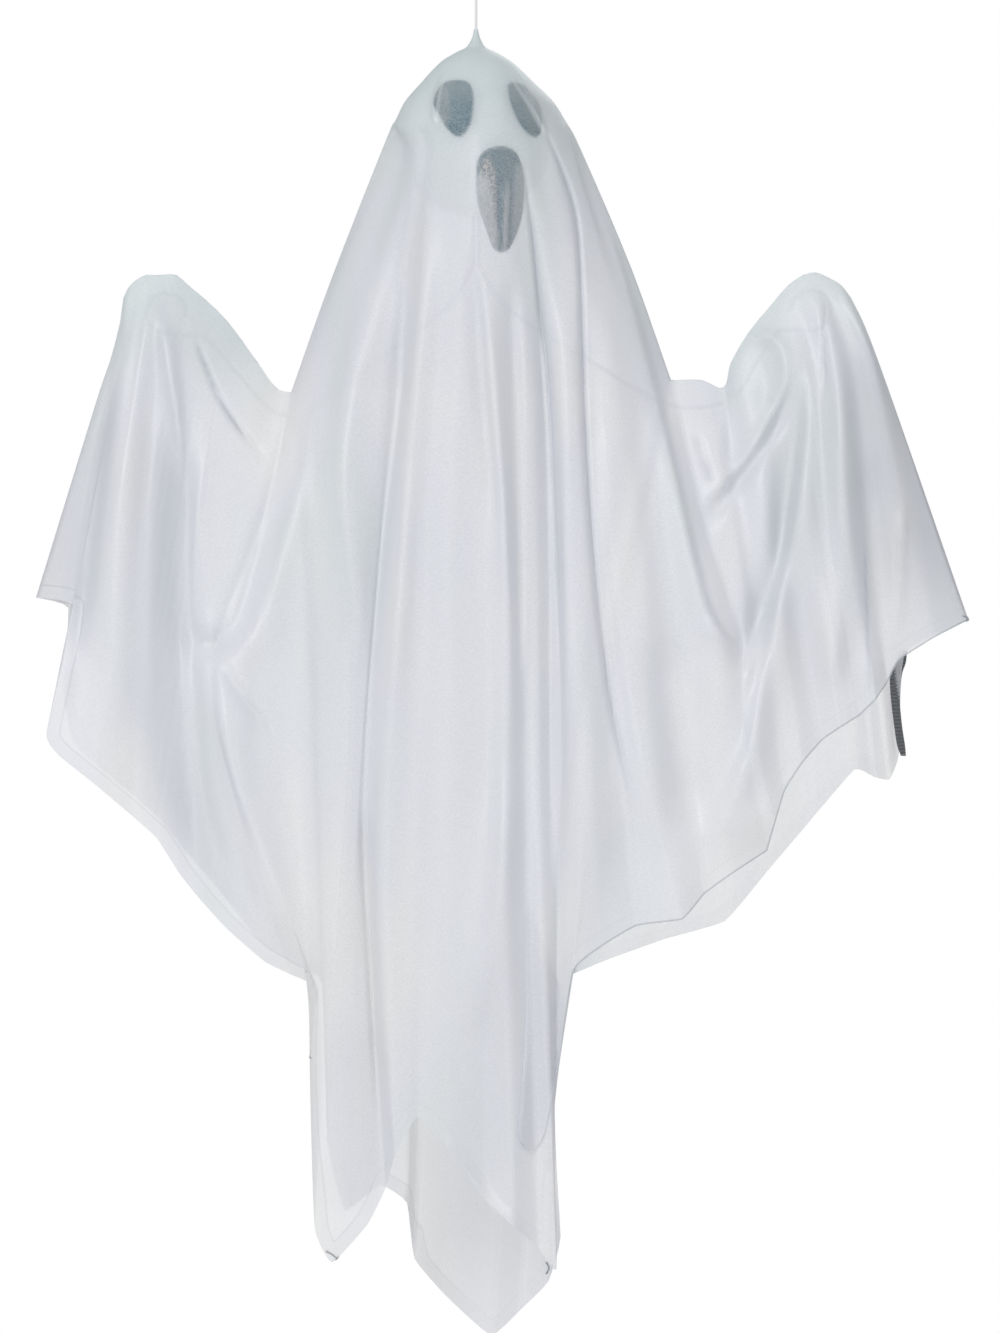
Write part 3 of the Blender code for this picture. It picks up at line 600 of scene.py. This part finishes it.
def back_grids():
    last = len(BODY_BACK_HEM) - 1
    sides = BODY_FOLDS[0][2], BODY_FOLDS[-1][2]
    body = []
    for k, end in enumerate(BODY_BACK_HEM):
        degrees = -90 + 180 * k / last
        across = (1 + math.sin(math.radians(degrees))) / 2
        line = [(a[0] + (b[0] - a[0]) * across, a[1] + (b[1] - a[1]) * across)
                for a, b in zip(sides[0][:3], sides[1][:3])]
        line += BACK_BENDS.get(k) or back_line(line[2], end, 0)[1:2]
        line.append(end)
        body.append((degrees, BACK_FOLD * (-1) ** k, line))
    left = [(90, 0, LEFT_WING_FOLDS[0][1]),
            *wing_back(LEFT_WING_BACK_HEM, LEFT_WING_FOLDS[1:], -BACK_BULGE),
            (90, body[0][1], body[0][2][2:])]
    right = [(90, body[-1][1], body[-1][2][2:]),
             *wing_back(RIGHT_WING_BACK_HEM, RIGHT_WING_FOLDS[:-1], BACK_BULGE),
             (90, 0, RIGHT_WING_FOLDS[-1][1])]
    return [sheet_grid(left, 1, False, BACK_STEPS), sheet_grid(body, 1, True, BACK_STEPS),
            sheet_grid(right, 1, False, BACK_STEPS)]


def on_photo(points):
    """Where the camera sees points on the photo, in millimetres from its upper left."""
    scale = CAMERA_DISTANCE / (CAMERA_DISTANCE + points[:, 1]) / MM
    across = (points[:, 0] - CAMERA.x) * scale + PHOTO_WIDTH / 2 * PIXEL / MM
    down = (CAMERA.z - points[:, 2]) * scale + PHOTO_HEIGHT / 2 * PIXEL / MM
    return np.stack([across, down], 1)


def on_ray(across, down, depth):
    """The point at this y that the camera sees at a place of the photo."""
    scale = (CAMERA_DISTANCE + depth) / CAMERA_DISTANCE * PIXEL
    return Vector((CAMERA.x + (across - PHOTO_WIDTH / 2) * scale, depth,
                   CAMERA.z - (down - PHOTO_HEIGHT / 2) * scale))


def seen(tree, across, down):
    """The point and normal of the surface that the camera sees at a place of the photo."""
    target = on_ray(across, down, 0)
    hit, normal, _, _ = tree.ray_cast(CAMERA, target - CAMERA)
    if hit is None:
        hit, normal, _, _ = tree.find_nearest(target)
    return hit, -normal if normal.y > 0 else normal


def near_line(spots, line, reach):
    """The points near a line of the photo: index, distance, side and fade at its ends."""
    path = through(np.array(line, float), DRAWN_STEPS) * PIXEL / MM
    margin = FELT * reach
    inside = (spots > path.min(0) - margin) & (spots < path.max(0) + margin)
    near = np.flatnonzero(inside.all(1))
    spot = spots[near]
    best = np.full(len(near), FAR)
    side = np.zeros(len(near))
    along = np.zeros(len(near))
    total = len(path) - 1
    for k in range(total):
        run = path[k + 1] - path[k]
        share = np.clip(((spot - path[k]) @ run) / (run @ run), 0, 1)
        away = spot - path[k] - share[:, None] * run
        distance = np.linalg.norm(away, axis=1)
        closer = distance < best
        best = np.where(closer, distance, best)
        turn = run[0] * away[:, 1] - run[1] * away[:, 0]
        side = np.where(closer, np.sign(turn), side)
        along = np.where(closer, (k + share) / total, along)
    return near, best, side, ease(along / FADE) * ease((1 - along) / FADE)


def felt_lines(spots, table, power=2):
    """For each line of a table, the points near it and what they feel of its amount."""
    for amount, reach, line in table:
        near, distance, _, fade = near_line(spots, line, reach)
        yield near, amount * np.exp(-(distance / reach) ** power) * fade


def lay_folds(points):
    """Raise and push in the front along the strokes, but not at its seams."""
    spots = on_photo(points)
    depth = -points[:, 1]
    lift = np.zeros(len(points))
    for height, left, right, line in STROKES:
        near, distance, side, fade = near_line(spots, line, max(left, right))
        reach = np.where(side < 0, right, left)
        lift[near] += STROKE_GAIN * height * np.exp(-(distance / reach) ** STROKE_POWER) * fade
    free = np.where(lift > 0, ease(depth / SEAM_REACH), ease(depth / PUSH_REACH))
    points[:, 1] -= lift * MM * free


def ripples(points, seed, height, pitch):
    """Soft long ripples that run down the cloth."""
    random = np.random.default_rng(seed)
    across, drop = points[:, 0] / MM, -points[:, 2] / MM
    total = np.zeros(len(points))
    for _ in range(RIPPLE_WAVES):
        wave = 2 * math.pi / (pitch * random.uniform(*RIPPLE_PITCHES))
        lean = random.uniform(-RIPPLE_LEAN, RIPPLE_LEAN)
        slow = 2 * math.pi / random.uniform(*RIPPLE_LENGTHS)
        phase, phase_slow = random.uniform(0, 2 * math.pi, 2)
        spread = across * (1 - RIPPLE_FLARE * drop)
        total += (np.cos(wave * spread + lean * drop + phase)
                  * (0.5 + 0.5 * np.cos(slow * drop + phase_slow)))
    return total / math.sqrt(RIPPLE_WAVES) * height


def outside(spots, outline):
    """How far spots lie outside an outline in millimetres, less than nought inside it."""
    ring = through(np.array(outline + outline[:1], float), DRAWN_STEPS) * PIXEL / MM
    inside = np.zeros(len(spots), bool)
    distance = np.full(len(spots), FAR)
    for a, b in zip(ring, ring[1:]):
        run = b - a
        share = np.clip(((spots - a) @ run) / (run @ run), 0, 1)
        distance = np.minimum(distance, np.linalg.norm(spots - a - share[:, None] * run, axis=1))
        crosses = (a[1] > spots[:, 1]) != (b[1] > spots[:, 1])
        height = run[1] if abs(run[1]) > 1 / FAR else 1 / FAR
        at = a[0] + (spots[:, 1] - a[1]) * run[0] / height
        inside ^= crosses & (spots[:, 0] < at)
    return np.where(inside, -distance, distance)


def see_through(points):
    """How much light each point of the cloth lets straight through."""
    front = points[:, 1] < 0
    clear = np.full(len(points), LOOSE_CLEAR)
    spots = on_photo(points)
    glued = np.zeros(len(points))
    for outline in FACE.values():
        glued = np.maximum(glued, 1 - ease(outside(spots, outline) * MM / GLUE_MARGIN + 0.5))
    glued = glued * front
    clear += (GLUED_CLEAR - LOOSE_CLEAR) * glued
    for amount, softness, outline in VEILS:
        clear -= amount * (1 - ease(outside(spots, outline) / softness)) * glued
    # less see-through where the painted shade lies
    clear -= SHADED_CLEAR * painted_shade(points)
    for near, felt in felt_lines(spots, DOUBLED, DOUBLED_POWER):
        clear[near] -= felt * front[near]
    left, right = -points[:, 0] - SINGLE_LEFT, points[:, 0] - SINGLE_RIGHT
    wings = ease(left / SINGLE_BLEND) + ease(right / SINGLE_BLEND)
    return clear + SINGLE_CLEAR * wings * ~front


def painted_shade(points):
    """How much the cloth is darkened with painted shade along the listed lines."""
    total = np.zeros(len(points))
    for near, felt in felt_lines(on_photo(points), PAINTED_SHADES):
        total[near] += felt
    return np.minimum(total, DARKEST_PAINTED_SHADE)


def head_and_hand_tint(points):
    """How much the cloth takes a darker, greener tint: most over the head and the hands."""
    drop = -HEAD_TOP_DROP - points[:, 2]
    tint_amount = 1 - ease(drop / FACE_END)
    for near, felt in felt_lines(on_photo(points), HEAD_AND_HAND_TINT):
        tint_amount[near] = np.maximum(tint_amount[near], felt)
    return tint_amount


def flap_grid(tree):
    """The fold that hangs in front of the right tail, free at its left and its foot."""
    rows = spline(FLAP, np.linspace(0, 1, FLAP_ROWS))
    across = np.linspace(0, 1, FLAP_COLUMNS)
    grid = []
    for k, (down, left, right) in enumerate(rows):
        lift = FLAP_GAP + FLAP_LIFT * ease(k / len(rows)) * (1 - FLAP_TILT * across)
        lift[0] = FLAP_GAP
        grid.append([seen(tree, left + (right - left) * share, down)[0] - Vector((0, rise, 0))
                     for share, rise in zip(across, lift)])
    return np.array(grid).transpose(1, 0, 2)


def shape_sheet(points, side):
    """Lay folds and ripples on a sheet's points, in place."""
    if side < 0:
        lay_folds(points)
    drop = -points[:, 2] - HEAD_TOP_DROP
    free = ease(side * points[:, 1] / SEAM_REACH) * ease((drop - FACE_END) / FACE_END)
    ripple = sum(ripples(points, *kind) for kind in RIPPLES)
    points[:, 1] += side * ripple * MM * free


def build_cloth(material):
    """The cloth, and a search tree for each of its sheets, the flap last."""
    points, faces, rim, trees = [], [], [], []

    def add(grid, side):
        columns, rows = grid.shape[:2]
        ids = np.arange(columns * rows).reshape(columns, rows)
        quads = [ids[:-1, :-1], ids[:-1, 1:], ids[1:, 1:], ids[1:, :-1]]
        quads = np.stack(quads[::-side], -1).reshape(-1, 4)
        flat = grid.reshape(-1, 3)
        trees.append(BVHTree.FromPolygons(flat.tolist(), quads.tolist()))
        faces.append(quads + sum(map(len, points)))
        points.append(flat)

    for grids, side in ((front_grids(), -1), (back_grids(), 1)):
        for grid in grids:
            shape_sheet(grid.reshape(-1, 3), side)
            add(grid, side)
            hem = grid[:, -1]
            rim += [a + (b - a) * k / RIM_STEPS for a, b in zip(hem, hem[1:])
                    for k in range(RIM_STEPS)]
    add(flap_grid(trees[BODY_FRONT]), -1)
    data = bpy.data.meshes.new("cloth")
    data.from_pydata(np.vstack(points).tolist(), [], np.vstack(faces).tolist())
    mesh = bmesh.new()
    mesh.from_mesh(data)
    bmesh.ops.remove_doubles(mesh, verts=mesh.verts, dist=WELD)
    for face in mesh.faces:
        face.smooth = True
    mesh.to_mesh(data)
    mesh.free()
    mark_cloth(data, rim)
    return link("cloth", data, material), trees


def add_mark(data, name, values):
    """Give each point of a mesh a value that its material reads by name."""
    layer = data.attributes.new(name, "FLOAT", "POINT")
    layer.data.foreach_set("value", values.astype(np.float32))


def mark_cloth(data, rim):
    """Mark where the cloth is thin, where it is tinted, where it is darkened with painted shade, and
    its hem with the painted shadow line along the front's edge.
    """
    places = np.array([v.co for v in data.vertices])
    front = places[:, 1] < 0
    across = places[:, 0]
    tail = ease((across - TAIL_LEFT) / BAND_BLEND) * ease(-across / BAND_BLEND)
    band = np.where(front, 1 - BAND_LOSS * ease((across - BAND_END) / BAND_BLEND),
                    BACK_BAND + (1 - BACK_BAND) * tail)
    add_mark(data, "see_through", see_through(places))
    # a darker, greener tint over the head and the hands
    add_mark(data, "head_and_hand_tint", head_and_hand_tint(places))
    # painted shade along folds and creases
    add_mark(data, "painted_shade", painted_shade(places))
    add_mark(data, "hem_band", band)
    # a painted shadow line along the front's edge
    add_mark(data, "hem_shadow_line", ease((across - SHADOW_LINE_START) / BAND_BLEND) * front)
    add_mark(data, "edge_distance", edge_distance(places, rim))


def edge_distance(places, rim):
    """Each point's distance from the hem in millimetres, up to a limit."""
    tree = KDTree(len(rim))
    for k, place in enumerate(rim):
        tree.insert(place, k)
    tree.balance()
    return np.array([min(tree.find(place)[2], 3 * HEM_WIDTH) for place in places]) / MM


def build_shadowed_hem_roll(tree, material):
    """The ribbed strip between the front hem and the cloth behind: the hem's rolled reverse, made dark
    as a painted shadow.
    """
    mesh = bmesh.new()
    rows = spline(SHADOWED_HEM_ROLL, np.linspace(0, 1, SHADOWED_HEM_ROLL_ROWS))
    pairs = []
    for k, (down, left, right) in enumerate(rows):
        depth = seen(tree, SHADOWED_HEM_ROLL_ANCHOR, down)[0].y - SHADOWED_HEM_ROLL_GAP - SHADOWED_HEM_ROLL_RIB * (k % 2)
        pairs.append([mesh.verts.new(on_ray(across, down, depth))
                      for across in (left, (left + right) / 2, right)])
    for upper, lower in zip(pairs, pairs[1:]):
        for k in range(2):
            mesh.faces.new((upper[k], lower[k], lower[k + 1], upper[k + 1]))
    data = bpy.data.meshes.new("hem_roll_painted_shadow")
    mesh.to_mesh(data)
    mesh.free()
    hem_roll = link("hem_roll_painted_shadow", data, material)
    hem_roll.modifiers.new("thickness", "SOLIDIFY").thickness = FABRIC_THICKNESS
    return hem_roll


def build_threads(trees, material):
    """The short loose threads at corners of the hem."""
    runs = []
    for sheet, line in THREADS:
        runs.append([seen(trees[sheet], *place)[0] - Vector((0, THREAD_RADIUS, 0))
                     for place in spline(line, np.linspace(0, 1, THREAD_POINTS))])
    return build_curve("loose_threads", runs, THREAD_RADIUS, material)


# Face

def build_patch(name, outline, tree, material):
    """A thin patch that follows the inner face of the cloth; its outline is on the photo."""
    edge = spline(outline + outline[:1], np.arange(PATCH_SIDES) / PATCH_SIDES)
    centre = edge.mean(0)
    reach = np.linalg.norm(edge - centre, axis=1)[:, None]
    edge = centre + (edge - centre) * (1 + PATCH_MARGIN / PIXEL / reach)
    places = [centre] + [centre + (p - centre) * ring / PATCH_RINGS
                         for ring in range(1, PATCH_RINGS + 1) for p in edge]
    mesh = bmesh.new()
    verts = []
    for place in places:
        hit, normal = seen(tree, *place)
        verts.append(mesh.verts.new(hit - normal * PATCH_GAP))

    def vertex(ring, k):
        return verts[0] if ring == 0 else verts[1 + (ring - 1) * PATCH_SIDES + k % PATCH_SIDES]

    for ring in range(PATCH_RINGS):
        for k in range(PATCH_SIDES):
            corners = [vertex(ring, k), vertex(ring + 1, k), vertex(ring + 1, k + 1),
                       vertex(ring, k + 1)]
            made = mesh.faces.new(list(dict.fromkeys(corners)))
            made.smooth = True
    bmesh.ops.recalc_face_normals(mesh, faces=mesh.faces)
    data = bpy.data.meshes.new(name + "_patch")
    mesh.to_mesh(data)
    mesh.free()
    spots = on_photo(np.array([v.co for v in data.vertices]))
    # painted light on the patch, in pale specks
    pale = np.zeros(len(spots))
    for amount, softness, area in PAINTED_LIGHT_AREAS:
        pale = np.maximum(pale, amount * (1 - ease(outside(spots, area) / softness + 0.5)))
    add_mark(data, "pale", pale)
    patch = link(name + "_patch", data, material)
    solid = patch.modifiers.new("thickness", "SOLIDIFY")
    solid.thickness = FABRIC_THICKNESS
    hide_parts(name)


# Cord

CORD_POINTS = 16
LOOP_STEPS = 60
KNOT_STEPS = 90
KNOT_WAVE = 0.2          # how far the knot's turns run in and out, as a share
KNOT_STRAND = 0.95       # how thick its cord is, pulled tight


def loop_points():
    points = []
    for k in range(LOOP_STEPS + 1):
        turn = 2 * math.pi * k / LOOP_STEPS
        down = (1 + math.cos(turn)) / 2
        bulge = math.sin(turn) * math.sin(turn / 2)
        points.append(Vector((-LOOP_SPREAD / 2 * math.cos(turn / 2) - LOOP_WIDTH / 2 * bulge, 0,
                              CORD_RADIUS - LOOP_HEIGHT * down)))
    return points


def knot_points(middle):
    """A three-lobed knot round this height."""
    points = []
    for k in range(KNOT_STEPS + 1):
        turn = 2 * math.pi * k / KNOT_STEPS
        radius = (KNOT_RADIUS - CORD_RADIUS) * (1 - KNOT_WAVE + KNOT_WAVE * math.cos(3 * turn))
        rise = (KNOT_HEIGHT / 2 - CORD_RADIUS) * math.sin(3 * turn)
        points.append(Vector((radius * math.cos(2 * turn), radius * math.sin(2 * turn),
                              middle + rise)))
    return points


def build_curve(name, runs, radius, material):
    curve = bpy.data.curves.new(name, "CURVE")
    curve.dimensions = "3D"
    curve.bevel_depth = radius
    curve.bevel_resolution = 4
    curve.use_fill_caps = True
    for points in runs:
        run = curve.splines.new("POLY")
        run.points.add(len(points) - 1)
        for target, point in zip(run.points, points):
            target.co = (*point, 1.0)
    return link(name, curve, material)


def build_cords(material):
    low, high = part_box("hanging_cord")
    last = CORD_POINTS - 1
    run = [Vector((0, 0, low[2] + (high[2] - low[2]) * k / last)) for k in range(CORD_POINTS)]
    cord = build_curve("string", [run], CORD_RADIUS, material)
    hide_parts("hanging_cord")
    loop = build_curve("string_loop", [loop_points()], CORD_RADIUS, material)
    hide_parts("hanging_loop")
    low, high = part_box("loop_knot")
    turns = knot_points((low[2] + high[2]) / 2)
    knot = build_curve("string_knot", [turns], CORD_RADIUS * KNOT_STRAND, material)
    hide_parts("loop_knot")
    low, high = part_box("hanging_cord")


# Materials

class Look:
    """A material, and short ways to add its nodes."""

    def __init__(self, name):
        self.material = bpy.data.materials.new(name)
        self.material.use_nodes = True
        self.nodes = self.material.node_tree.nodes
        self.links = self.material.node_tree.links
        self.shader = self.nodes["Principled BSDF"]

    def fill(self, node, inputs):
        """Set a node's inputs to values, colours or the outputs of other nodes."""
        for key, value in inputs.items():
            if isinstance(value, bpy.types.NodeSocket):
                self.links.new(value, node.inputs[key])
            else:
                node.inputs[key].default_value = value

    def node(self, kind, inputs, output=0):
        """A new node's output."""
        node = self.nodes.new("ShaderNode" + kind)
        self.fill(node, inputs)
        return node.outputs[output]

    def maths(self, operation, a, b):
        result = self.node("Math", {0: a, 1: b})
        result.node.operation = operation
        return result

    def times(self, a, b):
        return self.maths("MULTIPLY", a, b)

    def share(self, value, zero, one):
        """From nought where the value is at zero to 1 where it is at one."""
        return self.node("MapRange", {"Value": value, "From Min": zero, "From Max": one})

    def mark(self, name):
        """The value that add_mark gave each point."""
        result = self.node("Attribute", {}, "Fac")
        result.node.attribute_name = name
        return result

    def noise(self, scale, detail, stretch=(1, 1, 1)):
        """A noise value, drawn out along the axes whose stretch is small."""
        where = self.node("TexCoord", {}, "Object")
        where = self.node("Mapping", {"Vector": where, "Scale": stretch})
        return self.node("TexNoise", {"Vector": where, "Scale": scale, "Detail": detail})

    def tones(self, value, stops):
        """The colour at a value between stops, each (value, colour)."""
        result = self.node("ValToRGB", {"Fac": value})
        elements = result.node.color_ramp.elements
        for place, _ in stops[1:-1]:
            elements.new(place)
        for element, (place, colour) in zip(elements, stops):
            element.position = place
            element.color = (*colour, 1)
        return result

    def tinted(self, colour, factor, tint):
        """The colour, turned to the tint where the factor is 1."""
        return self.node("MixRGB", {"Fac": factor, "Color1": colour, "Color2": (*tint, 1)})

    def blend(self, factor, first, second):
        """The first surface, turned to the second where the factor is 1."""
        return self.node("MixShader", {"Fac": factor, 1: first, 2: second})


def cloth_material():
    """Thin white cloth: part gaps between threads, part thread lit from both sides."""
    look = Look("cloth_white")
    warp = look.noise(WEAVE_SCALE, 1, (1, 1, WEAVE_STRETCH))
    weft = look.noise(WEAVE_SCALE, 1, (WEAVE_STRETCH, WEAVE_STRETCH, 1))
    weave = look.maths("SUBTRACT", look.maths("ADD", warp, weft), 1.0)

    edge, band = look.mark("edge_distance"), look.mark("hem_band")
    border = HEM_WIDTH / MM
    hem = look.share(edge, border + HEM_BLUR, border - HEM_BLUR)
    border += SEAM_WIDTH
    seam = look.maths("SUBTRACT", look.share(edge, border + HEM_BLUR, border - HEM_BLUR), hem)
    seam = look.times(look.times(seam, SEAM_DARK), band)
    # painted shadow: a dark line along the front's edge, where its hem lies over the cloth behind
    line = look.times(look.share(edge, *EDGE_SHADOW), look.mark("hem_shadow_line"))
    seam_and_shadow = look.maths("MAXIMUM", seam, look.times(line, EDGE_SHADOW_DARK))

    colour = look.tones(look.noise(TONE_SCALE, 2, (1, 1, TONE_STRETCH)), CLOTH_TONES)
    # a darker, greener tint over the head and the hands
    colour = look.tinted(colour, look.mark("head_and_hand_tint"), HEAD_AND_HAND_TINT_COLOUR)
    # painted shade along folds and creases
    colour = look.tinted(colour, look.mark("painted_shade"), PAINTED_SHADE_COLOUR)
    # the stitched seam, and the painted shadow line along the front's edge
    colour = look.tinted(colour, seam_and_shadow, SEAM_AND_SHADOW_COLOUR)
    bump = look.node("Bump", {"Strength": 0.08, "Distance": 0.3 * MM, "Height": weave})
    look.fill(look.shader, {"Base Color": colour, "Normal": bump, "Roughness": 0.42,
                            "Specular IOR Level": 0.6})
    glow = look.node("BsdfTranslucent", {"Color": colour})
    threads = look.blend(GLOW_SHARE, look.shader.outputs[0], glow)

    facing = look.node("LayerWeight", {"Blend": 0.5}, "Facing")
    gaps = look.times(look.mark("see_through"), look.maths("SUBTRACT", 1.0, facing))
    gaps = look.times(gaps, look.maths("ADD", 1.0, look.times(weave, WEAVE_GAPS)))
    closed = look.times(look.times(hem, band), HEM_CLOSED)
    gaps = look.times(gaps, look.maths("SUBTRACT", 1.0, closed))
    gauze = look.blend(gaps, threads, look.node("BsdfTransparent", {}))
    look.fill(look.nodes["Material Output"], {"Surface": gauze})
    return look.material


def grainy(name, colour, roughness, scale, depth):
    """A plain surface with fine grain in its colour and its bump."""
    look = Look(name)
    grain = look.noise(scale, 4)
    dark, light = ([min(c * tone, 1) for c in colour] for tone in GRAIN_TONES)
    bump = look.node("Bump", {"Strength": 0.5, "Distance": depth, "Height": grain})
    look.fill(look.shader, {"Base Color": look.tones(grain, [(0, dark), (1, light)]),
                            "Normal": bump, "Roughness": roughness})
    return look


def patch_material():
    """Dark felt, turned pale in specks as painted light."""
    look = grainy("patch_grey", (0.01, 0.08, 0.125), 0.9, 900, 0.3 * MM)
    specks = look.share(look.noise(SPECK_SCALE, 2), *SPECK_RANGE)
    felt = look.shader.inputs["Base Color"].links[0].from_socket
    # painted light in pale specks
    lit_felt = look.tinted(felt, look.times(specks, look.mark("pale")), PAINTED_LIGHT_COLOUR)
    look.fill(look.shader, {"Base Color": lit_felt})
    return look.material


# Stage and light

def make_stage():
    mesh = bmesh.new()
    bmesh.ops.create_circle(mesh, cap_ends=True, segments=96, radius=6.5)
    data = bpy.data.meshes.new("floor")
    mesh.to_mesh(data)
    mesh.free()
    look = Look("floor_pale")
    look.fill(look.shader, {"Base Color": (0.9, 0.9, 0.9, 1), "Roughness": 0.9})
    data.materials.append(look.material)
    floor = bpy.data.objects.new("floor", data)
    floor.location.z = -FLOOR_DROP
    bpy.context.scene.collection.objects.link(floor)


def area_light(name, place, size, power):
    data = bpy.data.lights.new(name, "AREA")
    data.size = size
    data.energy = power
    light = bpy.data.objects.new(name, data)
    light.location = place
    light.rotation_euler = (LIGHT_TARGET - Vector(place)).to_track_quat("-Z", "Y").to_euler()
    bpy.context.scene.collection.objects.link(light)


def make_light():
    world = bpy.data.worlds.new("studio")
    bpy.context.scene.world = world
    world.use_nodes = True
    nodes, links = world.node_tree.nodes, world.node_tree.links
    lit, shown = nodes["Background"], nodes.new("ShaderNodeBackground")
    for sky, strength in ((lit, SKY_LIGHT), (shown, SKY_SEEN)):
        sky.inputs["Color"].default_value = (1, 1, 1, 1)
        sky.inputs["Strength"].default_value = strength
    path = nodes.new("ShaderNodeLightPath")
    mix = nodes.new("ShaderNodeMixShader")
    links.new(path.outputs["Is Camera Ray"], mix.inputs["Fac"])
    links.new(lit.outputs[0], mix.inputs[1])
    links.new(shown.outputs[0], mix.inputs[2])
    links.new(mix.outputs[0], nodes["World Output"].inputs["Surface"])
    for light in LIGHTS:
        area_light(*light)
    bpy.context.scene.view_settings.view_transform = "Standard"


def main():
    make_camera()
    cord_thread = grainy("cord_grey", (0.70, 0.70, 0.72), 0.7, 2500, 0.2 * MM).material
    build_cords(cord_thread)
    cloth, trees = build_cloth(cloth_material())
    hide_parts("ghost_cloth")
    # painted shadow: the hem's rolled reverse in dark grey
    shadow_grey = grainy("painted_shadow_grey", (0.20, 0.21, 0.22), 0.8, 1500, 0.3 * MM).material
    hem_roll = build_shadowed_hem_roll(trees[RIGHT_BACK], shadow_grey)
    grey_thread = grainy("thread_grey", (0.34, 0.36, 0.39), 0.8, 1500, 0.2 * MM).material
    threads = build_threads(trees, grey_thread)
    felt = patch_material()
    for name, outline in FACE.items():
        build_patch(name, outline, trees[BODY_FRONT], felt)
    foam = grainy("foam_white", (0.83, 0.86, 0.87), 0.8, 220, 0.6 * MM).material
    wire = grainy("wire_white", (0.8, 0.8, 0.82), 0.4, 600, 0.1 * MM).material
    for node, material in (("head_ball", foam), ("wire_frame", wire), ("tie_knot", cord_thread)):
        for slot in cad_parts[node].material_slots:
            slot.material = material
    make_stage()
    make_light()


main()
